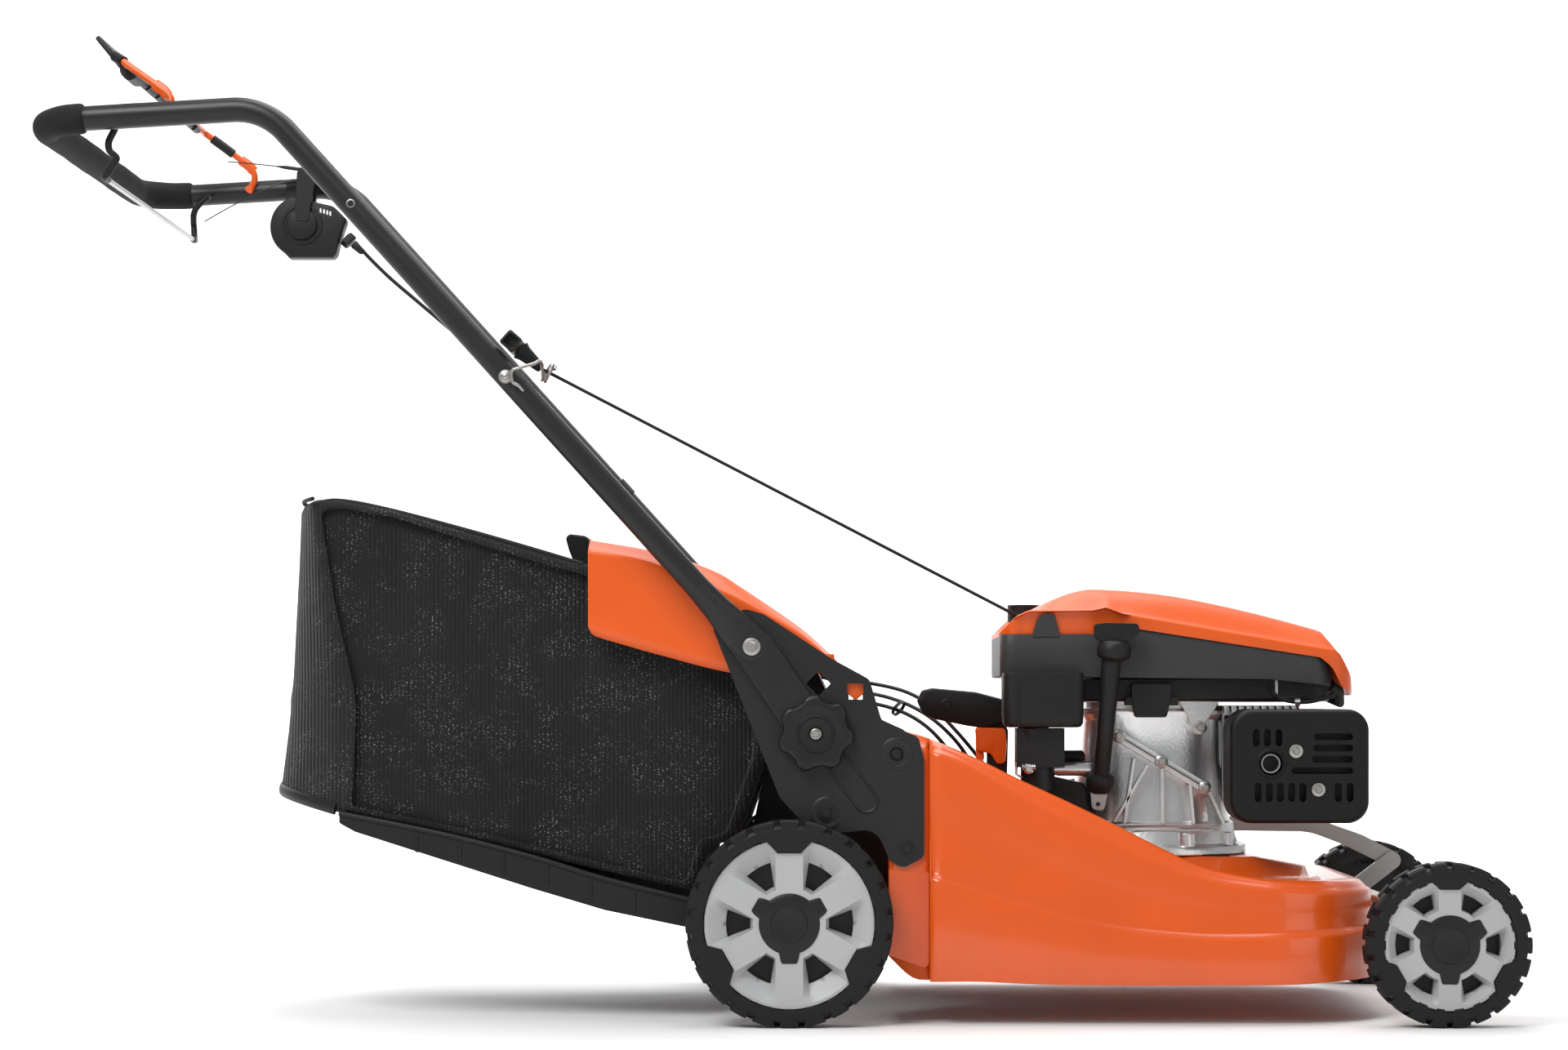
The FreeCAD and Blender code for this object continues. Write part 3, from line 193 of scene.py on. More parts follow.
looks = {name: finish(name, colour, rough, **more) for name, colour, rough, more in [
    ("orange_paint", (0.70, 0.088, 0.002), 0.3, dict(spread=0.05, grain=700, bump=0.02, coat=0.45)),
    ("orange_plastic", (0.72, 0.092, 0.002), 0.36, dict(spread=0.05, grain=900, bump=0.05)),
    ("band_plastic", (0.036, 0.037, 0.039), 0.46, dict(grain=1200, bump=0.15)),
    ("black_plastic", (0.008, 0.008, 0.0085), 0.46, dict(grain=1100, bump=0.25)),
    ("dark_paint", (0.011, 0.011, 0.012), 0.4, dict(grain=800, bump=0.08)),
    ("bracket_paint", (0.015, 0.0155, 0.0165), 0.42, dict(spread=0.06, grain=900, bump=0.08)),
    ("handle_paint", (0.016, 0.016, 0.017), 0.36, dict(spread=0.08, grain=900, bump=0.12)),
    ("guard_paint", (0.0025, 0.0025, 0.003), 0.5, dict(grain=900, bump=0.2)),
    ("zinc", (0.40, 0.39, 0.37), 0.36, dict(metal=1.0, grain=500, bump=0.06)),
    ("bail_wire", (0.32, 0.32, 0.33), 0.32, dict(metal=0.85, grain=500, bump=0.05)),
    ("steel", (0.42, 0.42, 0.43), 0.35, dict(metal=0.9, grain=500, bump=0.08)),
    ("cast_aluminium", (0.68, 0.69, 0.69), 0.3, dict(metal=0.9, spread=0.25, grain=260, bump=0.35)),
    ("belt_rubber", (0.015, 0.015, 0.015), 0.75, dict(grain=700, bump=0.2)),
    ("foam", (0.010, 0.010, 0.011), 0.88, dict(grain=1500, bump=0.4)),
    ("tyre", (0.006, 0.006, 0.0065), 0.55, dict(grain=600, bump=0.2)),
    ("rim_plastic", (0.40, 0.405, 0.41), 0.45, dict(spread=0.05, grain=900, bump=0.08)),
    ("rope", (0.016, 0.016, 0.016), 0.85, dict(grain=1800, bump=0.6)),
    ("cable_jacket", (0.012, 0.012, 0.012), 0.42, dict(grain=700, bump=0.05)),
    ("mark_white", (0.8, 0.8, 0.8), 0.5, dict(spread=0.03)),
]}
looks["bag_fabric"] = knitFinish("bag_fabric")


# Shape helpers: each gives points in millimetres and faces, or a line or outline of points.

def join(parts):
    points, faces, count = [], [], 0
    for more, polygons in parts:
        points.append(np.asarray(more, float).reshape(-1, 3))
        faces += [[index + count for index in polygon] for polygon in polygons]
        count += len(points[-1])
    return np.vstack(points), faces


def gridFaces(rows, columns, closeRows=False, closeColumns=False):
    i, j = np.meshgrid(np.arange(rows if closeRows else rows - 1),
                       np.arange(columns if closeColumns else columns - 1), indexing="ij")
    nextI = (i + 1) % rows
    nextJ = (j + 1) % columns
    quads = np.stack([i * columns + j, i * columns + nextJ, nextI * columns + nextJ, nextI * columns + j],
                     -1)
    return quads.reshape(-1, 4).tolist()


def sheetOf(points, closeRows=False, closeColumns=False):
    rows, columns = points.shape[:2]
    return points.reshape(-1, 3), gridFaces(rows, columns, closeRows, closeColumns)


def capped(rings):
    # Rings walled one to the next, with the first and last filled.
    points, faces = sheetOf(np.array(rings), closeColumns=True)
    count = len(rings[0])
    return points, faces + [list(range(count)), list(range(len(points) - count, len(points)))]


def around(reach, turns, level, centre=(0, 0)):
    # Points at a reach and turn about a centre in the side view, all at one y.
    x = centre[0] + reach * np.cos(turns)
    return np.stack([x, np.full(len(turns), float(level)), centre[1] + reach * np.sin(turns)], -1)


def lineAt(x, y, z):
    # A line across the side view at one y.
    return np.column_stack([x, np.full(len(x), float(y)), np.broadcast_to(z, len(x))])


def scaled(outline, rows):
    # Copies of a side-view outline, shrunk towards its middle, one for each y and share.
    middle = outline.mean(0)
    return [lay(middle + (outline - middle) * share, level, "XZ") for level, share in rows]


def roundCorner(before, here, after, radius, steps):
    # An arc of the radius that touches the runs on both sides of a corner.
    before = (before - here) / np.linalg.norm(before - here)
    after = (after - here) / np.linalg.norm(after - here)
    half = math.acos(np.clip(before @ after, -1, 1)) / 2
    reach = radius / math.tan(half)
    middle = (before + after) / np.linalg.norm(before + after)
    centre = here + middle * radius / math.sin(half)
    first = here + before * reach - centre
    last = here + after * reach - centre
    arms = [first * (1 - share) + last * share for share in np.linspace(0, 1, steps + 1)]
    return [centre + arm / np.linalg.norm(arm) * radius for arm in arms]


def cornered(points, steps=5):
    # A closed outline; a point's third number is its corner radius.
    outline = []
    for index, point in enumerate(points):
        here = np.array(point[:2], float)
        if len(point) < 3 or not point[2]:
            outline.append(here)
            continue
        before = np.array(points[index - 1][:2], float)
        after = np.array(points[(index + 1) % len(points)][:2], float)
        outline += roundCorner(before, here, after, point[2], steps)
    return np.array(outline)


def fullTurn(count):
    return np.linspace(0, 2 * math.pi, count, endpoint=False)


def divided(line, step):
    # More points along each run, no closer than the step.
    points = [line[0]]
    for here, there in zip(line[:-1], line[1:]):
        count = max(1, int(np.linalg.norm(there - here) / step))
        points += [here + (there - here) * share for share in np.linspace(0, 1, count + 1)[1:]]
    return np.array(points)


def arcOutline(radius, centre=(0, 0), steps=24):
    turns = fullTurn(steps)
    return np.stack([centre[0] + radius * np.cos(turns), centre[1] + radius * np.sin(turns)], -1)


def lay(flat, level, plane):
    flat = np.asarray(flat, float)
    level = np.full(len(flat), level, float)
    if plane == "XZ":
        return np.stack([flat[:, 0], level, flat[:, 1]], -1)
    if plane == "YZ":
        return np.stack([level, flat[:, 0], flat[:, 1]], -1)
    return np.stack([flat[:, 0], flat[:, 1], level], -1)


def plate(outline, low, high, plane="XZ", holes=()):
    # An outline with holes, filled at both levels and walled between them.
    rings = [np.asarray(outline, float)] + [np.asarray(hole, float) for hole in holes]
    flat = np.vstack(rings)
    faces = [list(range(len(flat)))]
    if holes:
        loops = [[Vector((*point, 0)) for point in ring] for ring in rings]
        faces = [list(triangle) for triangle in tessellate_polygon(loops)]
    total = len(flat)
    polygons = faces + [[index + total for index in reversed(face)] for face in faces]
    start = 0
    for ring in rings:
        count = len(ring)
        for index in range(count):
            here, there = start + index, start + (index + 1) % count
            polygons.append([here, there, there + total, here + total])
        start += count
    return np.vstack([lay(flat, low, plane), lay(flat, high, plane)]), polygons


def spun(profile, centre, axis, steps=40):
    # A (radius, height) profile turned about an axis; ends at radius 0 close by merging.
    axis = np.array(axis, float) / np.linalg.norm(axis)
    side = np.cross(axis, [0.3, 0.5, 0.81])
    side /= np.linalg.norm(side)
    other = np.cross(axis, side)
    turns = fullTurn(steps)[:, None, None]
    profile = np.array(profile, float)
    reach = profile[None, :, :1]
    points = np.array(centre, float) + reach * (np.cos(turns) * side + np.sin(turns) * other)
    points = points + profile[None, :, 1:2] * axis
    return sheetOf(points, closeRows=True)


def smoothLine(points, steps=8, closed=False):
    # Catmull-Rom through the points.
    points = np.array(points, float)
    if closed:
        padded = np.vstack([points[-1], points, points[:2]])
    else:
        padded = np.vstack([2 * points[0] - points[1], points, 2 * points[-1] - points[-2]])
    spans = len(padded) - 3
    share = np.linspace(0, 1, steps, endpoint=False)[None, :, None]
    a, b, c, d = (padded[k:k + spans][:, None, :] for k in range(4))
    line = 0.5 * (2 * b + (c - a) * share + (2 * a - 5 * b + 4 * c - d) * share**2
                  + (3 * b - a - 3 * c + d) * share**3)
    line = line.reshape(-1, points.shape[1])
    return line if closed else np.vstack([line, points[-1]])


def bentLine(points, radii, steps=7):
    # Straight runs with a round corner of each radius.
    points = np.array(points, float)
    line = [points[0]]
    for before, here, after, radius in zip(points, points[1:], points[2:], radii):
        line += roundCorner(before, here, after, radius, steps)
    return np.array(line + [points[-1]])


def tube(line, radius, sides=14, squeeze=(1, 1)):
    # A round section carried along a line, its rings never twisting; squeeze scales width and height.
    line = np.array(line, float)
    tangents = np.gradient(line, axis=0)
    tangents /= np.linalg.norm(tangents, axis=1)[:, None]
    radii = np.broadcast_to(np.asarray(radius, float), (len(line),))
    press = np.broadcast_to(np.asarray(squeeze, float), (len(line), 2))
    side = np.cross(tangents[0], [0, 0, 1])
    if np.linalg.norm(side) < 0.1:
        side = np.cross(tangents[0], [0, 1, 0])
    turns = fullTurn(sides)
    rings = []
    for index, along in enumerate(tangents):
        side = side - along * (side @ along)
        side /= np.linalg.norm(side)
        up = np.cross(side, along)
        wide, tall = press[index]
        rings.append(line[index] + radii[index] * (wide * np.cos(turns)[:, None] * side
                                                   + tall * np.sin(turns)[:, None] * up))
    points = np.array(rings)
    verts, faces = sheetOf(points, closeColumns=True)
    last = len(line) * sides
    faces.append(list(range(sides)))
    faces.append(list(range(last - sides, last))[::-1])
    return verts, faces


def hexBolt(at, outward, radius, height=5, washer=None):
    at = np.array(at, float)
    outward = np.array(outward, float)
    flange = washer or radius * 1.5
    base = spun([(0, 0), (flange, 0), (flange, 1.2), (radius, 2.2), (0, 2.2)], at, outward, 24)
    head = spun([(0, 2), (radius, 2), (radius, height - 0.8), (radius * 0.86, height), (0, height)], at,
                outward, 6)
    return join([base, head])


def piece(name, parts, body, slot, replaces=(), bevel=0, angle=35, extra=(), thick=0, blend=None):
    # extra holds (geometry, finish name) pairs that share the piece.
    groups = [(join(parts) if isinstance(parts, list) else parts, slot)] + list(extra)
    points, faces, finishes, index = [], [], [], []
    count = 0
    for (more, polygons), look in groups:
        if look not in finishes:
            finishes.append(look)
        points.append(np.asarray(more, float))
        faces += [[corner + count for corner in polygon] for polygon in polygons]
        index += [finishes.index(look)] * len(polygons)
        count += len(more)
    mesh = bpy.data.meshes.new(name)
    mesh.from_pydata(toFrame(np.vstack(points)).tolist(), [], faces)
    mesh.polygons.foreach_set("material_index", index)
    mesh.polygons.foreach_set("use_smooth", [True] * len(mesh.polygons))
    for look in finishes:
        mesh.materials.append(looks[look])
    thing = bpy.data.objects.new(name, mesh)
    bpy.context.scene.collection.objects.link(thing)
    bpy.context.view_layer.objects.active = thing
    bpy.ops.object.select_all(action="DESELECT")
    thing.select_set(True)
    bpy.ops.object.mode_set(mode="EDIT")
    bpy.ops.mesh.select_all(action="SELECT")
    bpy.ops.mesh.remove_doubles(threshold=0.00001)
    bpy.ops.mesh.normals_make_consistent(inside=False)
    bpy.ops.object.mode_set(mode="OBJECT")
    mesh.set_sharp_from_angle(angle=math.radians(angle))
    if thick:
        shell = thing.modifiers.new("thickness", "SOLIDIFY")
        shell.thickness = thick / 1000
        shell.offset = -1
    if bevel:
        soften = thing.modifiers.new("soft_edges", "BEVEL")
        soften.width = bevel / 1000
        soften.segments = 2
        soften.limit_method = "ANGLE"
        soften.angle_limit = math.radians(angle)
        soften.harden_normals = True
    if blend:
        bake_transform(thing)
    else:
        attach(thing, body)
    if replaces:
        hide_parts(*replaces)
    return thing


print("stage: helpers ready")


# Cords.

cordRoutes = {
    "starter_rope": [(-282, -225.4, 745.4), (270, -105.2, 465.3)],
    "speed_cable": [(-572, 227, 960), (-545, 230, 928), (-478, 234, 872), (-400, 236, 805),
                    (-100, 236, 473), (20, 233, 366), (95, 214, 368), (160, 190, 344),
                    (205, 174, 290), (216, 171, 220), (216, 171, 163.2)],
    "drive_cable": [(-734, 218, 1062), (-655, 222, 1056), (-600, 223, 1044), (-520, 232, 946),
                    (-100, 233, 480),
                    (20, 233, 377), (95, 224, 381), (170, 194, 352), (226, 178, 290), (236, 176, 220),
                    (236, 176, 163.2)],
    "brake_cable": [(-766, 226, 986), (-715, 226, 1016), (-655, 227, 1042), (-612, 232, 1034),
                    (-520, 236, 954),
                    (-90, 236.5, 482), (10, 236, 397), (95, 230, 392), (160, 208, 374), (212, 186, 320),
                    (256, 168, 262), (340, 160, 262), (398, 130, 282), (432, 83, 296)],
}
cordRadius = {"starter_rope": 2, "speed_cable": 2.5, "drive_cable": 2.5, "brake_cable": 2.5}
wireRadius = 0.8


def routeLine(name):
    # The smooth line of a NURBS spline whose control points are the route.
    curve = bpy.data.curves.new(name + "_route", "CURVE")
    curve.dimensions = "3D"
    curve.resolution_u = 8
    spline = curve.splines.new("NURBS")
    route = toFrame(cordRoutes[name])
    spline.points.add(len(route) - 1)
    for point, place in zip(spline.points, route):
        point.co = (*place, 1)
    spline.order_u = 3
    spline.use_endpoint_u = True
    thing = bpy.data.objects.new(name + "_route", curve)
    bpy.context.scene.collection.objects.link(thing)
    bpy.context.view_layer.update()
    mesh = bpy.data.meshes.new_from_object(thing)
    line = np.array([vertex.co for vertex in mesh.vertices]) * 1000
    line[:, 0] -= axleX * 1000
    bpy.data.meshes.remove(mesh)
    bpy.data.objects.remove(thing)
    return line


def makeCords():
    pivot = [joint for joint in frame["joints"] if joint["name"] == "handle_fold"][0]
    chassis, handle = pivot["parent"], pivot["child"]
    for name in ("speed_cable", "drive_cable", "brake_cable"):
        line = routeLine(name)
        start = toFrame([(150, 233, 360)])[0]
        end = toFrame([(-150, 233, 520)])[0]
        # Behind x = -668 the jacket ends and the bare inner wire shows.
        jacket = np.clip((line[:, 0] + 668) / 6, 0, 1)
        radii = cordRadius[name] * jacket + wireRadius * (1 - jacket)
        made = piece(name + "_run", tube(line, radii, 8), None, "cable_jacket", (name,),
                     blend=(chassis, handle, tuple(start), tuple(end)))
        made.data.name = name + "_run"
    ends = np.array(cordRoutes["starter_rope"], float)
    share = np.linspace(0, 1, 60)[:, None]
    line = ends[0] * (1 - share) + ends[1] * share
    piece("starter_rope_run", tube(line, cordRadius["starter_rope"], 8), None, "rope", ("starter_rope",),
          blend=(chassis, handle, tuple(toFrame(ends[1:])[0]), tuple(toFrame(ends[:1])[0])))


makeCords()
print("stage: cords")


# Wheels.

wheelSizes = {
    "rear": {"rim": 96, "tyre": 117, "notch": 79.4, "tip": 41, "windowIn": 44.5, "windowOut": 71.6,
             "pocket": 92, "lip": 13, "lugs": 24, "lobe": 44.8, "cap": 34.5, "spoke": 15.4},
    "front": {"rim": 74, "tyre": 93, "notch": 62.5, "tip": 40.5, "windowIn": 42.5, "windowOut": 59.5,
              "pocket": 69, "lip": 11, "lugs": 22, "lobe": 44, "cap": 34, "spoke": 12.6},
}


windowSteps = 7
windowShare = 0.71


def rimEdge(turn, sizes):
    # The rim's radius at an angle: full, but cut down to a notch at 90, 210 and 330 degrees.
    offset = np.abs((turn - math.pi / 2 + math.pi / 3) % (2 * math.pi / 3) - math.pi / 3)
    rim, floor = sizes["rim"], sizes["notch"]
    wide, narrow = 0.268 * rim, 0.145 * rim
    level = floor / np.cos(offset)
    top = np.array([wide, math.sqrt(rim**2 - wide**2)])
    foot = np.array([narrow, floor])
    run = top - foot
    normal = np.array([run[1], -run[0]])
    slope = (foot @ normal) / (np.sin(offset) * normal[0] + np.cos(offset) * normal[1] + 1e-9)
    footTurn = math.atan2(narrow, floor)
    topTurn = math.atan2(wide, top[1])
    return np.where(offset < footTurn, level, np.where(offset < topTurn, slope, rim))


def pocketEdge(sizes, radii):
    # Half the angle of the sunk pocket between two spokes, at each radius.
    return math.pi / 6 - np.arcsin(np.minimum(1, sizes["spoke"] / radii))


def rimFace(sizes, face):
    # Grid columns in six sectors: those of a pocket follow the spoke edges, for crisp windows.
    windowIn, windowOut, pocket, lip = (sizes[key] for key in ("windowIn", "windowOut", "pocket", "lip"))
    radii = np.array([30, 35, sizes["tip"] - 1.5, sizes["tip"],
                      *np.linspace(windowIn, windowOut, windowSteps),
                      *np.linspace(windowOut, pocket, 5)[1:], sizes["rim"] - 0.8, sizes["rim"]])
    pocketShare = (-1, -windowShare, -0.45, -0.2, 0, 0.2, 0.45, windowShare)
    spokeShare = np.linspace(0, 1, 12)[:-1]
    edge = pocketEdge(sizes, radii)
    sector = np.stack([edge * share for share in pocketShare]
                      + [edge + (math.pi / 3 - 2 * edge) * share for share in spokeShare], 1)
    sunk = np.tile([0] + [1] * (len(pocketShare) - 1) + [0] * len(spokeShare), 6)
    turns = np.concatenate([sector + k * math.pi / 3 for k in range(6)], 1)
    reach = np.minimum(radii[:, None], rimEdge(turns, sizes))
    depth = np.interp(reach, [sizes["tip"], windowIn, windowOut, pocket], [0, lip, lip, 0]) * sunk
    depth[-1] += 0.8
    rows, count = turns.shape
    windowRows = range(4, 4 + windowSteps - 1)
    windowColumns = range(1, len(pocketShare) - 1)
    faces = []
    for i in range(rows - 1):
        for j in range(count):
            if i in windowRows and j % sector.shape[1] in windowColumns:
                continue
            k = (j + 1) % count
            faces.append([i * count + j, i * count + k, (i + 1) * count + k, (i + 1) * count + j])
    front = np.stack([reach * np.cos(turns), face + depth, reach * np.sin(turns)], -1)
    # The wall behind the outer edge runs inboard.
    back = around(reach[-1], turns[-1], face + 34)
    last = (rows - 1) * count
    for j in range(count):
        k = (j + 1) % count
        faces.append([last + j, last + k, last + count + k, last + count + j])
    return np.vstack([front.reshape(-1, 3), back]), faces


def windowWalls(sizes, face):
    radii = np.linspace(sizes["windowIn"], sizes["windowOut"], windowSteps)
    edge = windowShare * pocketEdge(sizes, radii)
    across = np.linspace(-1, 1, 7)[1:-1]
    parts = []
    for sector in range(6):
        middle = sector * math.pi / 3
        loop = [(r, middle - e) for r, e in zip(radii, edge)]
        loop += [(radii[-1], middle + edge[-1] * share) for share in across]
        loop += [(r, middle + e) for r, e in zip(radii[::-1], edge[::-1])]
        loop += [(radii[0], middle + edge[0] * share) for share in across[::-1]]
        reach, turns = np.array(loop).T
        outer = around(reach, turns, face + sizes["lip"])
        parts.append(sheetOf(np.stack([outer, outer + np.array([0, 9, 0])]), closeColumns=True))
    return join(parts)


def hubCap(sizes, face):
    # Disc with three lobes: the outline radius swells at 30, 150 and 270 degrees, domed rings inside it.
    turns = fullTurn(144)
    offset = np.abs((turns - math.pi / 6 + math.pi / 3) % (2 * math.pi / 3) - math.pi / 3)
    across = sizes["lobe"] * np.sin(offset)
    lobe = (sizes["lobe"] - np.maximum(0, across - 8.5) * 1.9) / np.maximum(np.cos(offset), 0.3)
    outline = np.where(offset < 0.62, np.maximum(lobe, sizes["cap"]), sizes["cap"])
    outline = np.minimum(outline, sizes["lobe"] / np.maximum(np.cos(offset), 0.5))
    shares = [(1, 3), (1, 0.6), (0.985, -0.6), (0.95, -1.4), (0.8, -2.2), (0.64, -2.6)]
    rows = [(outline * share, level) for share, level in shares]
    rows += [(21, -2.6), (20.2, -3.6), (18, -3.8), (15, -2.9), (8, -2.6), (0, -2.6)]
    rings = [around(reach, turns, face + level) for reach, level in rows]
    return sheetOf(np.array(rings), closeColumns=True)


def tyreBody(sizes, face, width):
    # Section rings from the sidewall's inner edge, which fills the rim's notches, over the tread and down.
    turns = fullTurn(360)
    inner = rimEdge(turns, sizes) + 1.0
    rim, base = sizes["rim"], sizes["tyre"] - 5
    section = [(inner, 5), (inner, 0.4), (inner + 1.2, -0.4), (rim + 4, -1.2), (rim + 9, -1.6),
               (base - 5, -0.6),
               (base - 1.6, 2), (base, 6), (base, width - 6), (base - 2, width - 2), (base - 8, width),
               (rim + 3, width), (rim - 4, width - 4)]
    points = np.array([around(reach, turns, level) for reach, level in section])
    points[..., 1] = np.clip(points[..., 1], 0, width) + face
    return sheetOf(points, closeColumns=True)


def tyreLugs(sizes, face, width):
    # Chunky blocks round the tread, alternating sides, each a tapered block bent over the shoulder.
    tyre, lugs = sizes["tyre"], sizes["lugs"]
    rows = [(tyre - 13.5, 0.9, 0.55), (tyre - 9, 0.0, 0.85), (tyre - 2.5, 0.7, 1.0), (tyre - 0.2, 3, 0.92),
            (tyre, width * 0.40, 0.92), (tyre - 0.3, width * 0.43, 0.85), (tyre - 7, width * 0.45, 1.0)]
    down, across = len(rows), 5
    total = down * across
    rim = ([(0, c) for c in range(across)] + [(r, across - 1) for r in range(1, down)]
           + [(down - 1, c) for c in range(across - 2, -1, -1)] + [(r, 0) for r in range(down - 2, 0, -1)])
    loop = [r * across + c for r, c in rim]
    walls = [[a, b, b + total, a + total] for a, b in zip(loop, loop[1:] + loop[:1])]
    sink = np.array([(tyre - 9) / tyre, 1, (tyre - 9) / tyre])
    parts = []
    for side in (0, 1):
        for index in range(lugs):
            middle = (index + 0.5 * side) * 2 * math.pi / lugs
            half = 0.41 * 2 * math.pi / lugs * (1.0 if index % 2 else 0.86)
            top = []
            for reach, level, wide in rows:
                turns = middle + np.linspace(-1, 1, across) * half * wide
                top.append(around(reach, turns, face + (width - level if side else level)))
            low = np.array(top) * sink
            low[..., 1] = np.clip(low[..., 1], face + 3.5, face + width - 3.5)
            parts.append((np.stack([top, low]).reshape(-1, 3), gridFaces(down, across) + walls))
    return join(parts)


def makeWheel(end, side):
    sizes = wheelSizes[end]
    name = f"{end}_{side}"
    low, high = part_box(name + "_tyre")
    centreX = 1000 * ((low.x + high.x) / 2 - axleX)
    centreZ = 1000 * (low.z + high.z) / 2
    width = 1000 * (high.y - low.y)
    outer = 1000 * (low.y if side == "right" else high.y)
    sign = 1 if side == "right" else -1

    def seat(geometry):
        points, faces = geometry
        points = np.array(points, float)
        points[:, 1] = outer + sign * points[:, 1]
        points[:, 0] += centreX
        points[:, 2] += centreZ
        return points, faces

    body = name + "_wheel"
    piece(name + "_tyre_tread", [seat(tyreBody(sizes, 0, width)), seat(tyreLugs(sizes, 0, width))], body,
          "tyre", (name + "_tyre",), angle=28)
    disc = sizes["rim"] - 1
    backing = spun([(20, 0), (disc, 0), (disc, 3), (20, 3), (20, 0)], (0, 24, 0), (0, 1, 0), 60)
    hubTube = spun([(0, 6), (24, 6), (22, width + 3), (0, width + 3)], (0, 0, 0), (0, 1, 0), 40)
    piece(name + "_rim", [seat(rimFace(sizes, 3.5)), seat(windowWalls(sizes, 3.5))], body, "rim_plastic",
          (name + "_wheel",), angle=24, extra=[(seat(join([backing, hubTube])), "black_plastic")])
    piece(name + "_hub_cap", [seat(hubCap(sizes, 3.2))], body, "dark_paint", angle=30)


for end in ("rear", "front"):
    for side in ("right", "left"):
        makeWheel(end, side)
print("stage: wheels")


# Deck.

deckLines = {  # x against height, along the sides
    "bottom": [(112, 77), (137, 54), (158, 50), (214, 50), (322, 46), (541, 46), (615, 47.7), (690, 50)],
    "lower": [(112, 190), (158, 172), (214, 153.8), (286.8, 132.6), (359.7, 114.2), (432.6, 104.9),
              (505, 102), (644, 106), (690, 106)],
    "crease": [(112, 322), (173.4, 307.9), (214, 289.4), (279.5, 252.5), (330.2, 227.6), (367, 209),
               (414, 187), (468.6, 168), (523.9, 158), (578, 153), (658.6, 150), (690, 150)],
    "ridge": [(112, 331), (150, 327), (210, 303), (257, 280), (322.8, 249.5), (381, 221), (414, 204),
              (470, 179), (540, 165), (600, 162.5), (690, 160)],
}


def alongDeck(name, x):
    line = smoothLine(deckLines[name], 6)
    return np.interp(x, line[:, 0], line[:, 1])


def deckMiddle(x, y):
    # The low middle: flat, a raised engine platform sloping off in front, and a ramp over the chute behind.
    along = np.interp(x, [262, 300, 545, 668], [0, 1, 1, 0])
    across = np.interp(np.abs(y), [110, 150], [1, 0])
    platform = deckFloor + 22 * along * across
    ramp = np.interp(x, [112, 190, 255, 310], [225, 214, 183, 160])
    ramp = np.where(np.abs(y) < 114, ramp, np.interp(np.abs(y), [114, 119], [0, 1]) * (160 - ramp) + ramp)
    return np.maximum(platform, ramp)


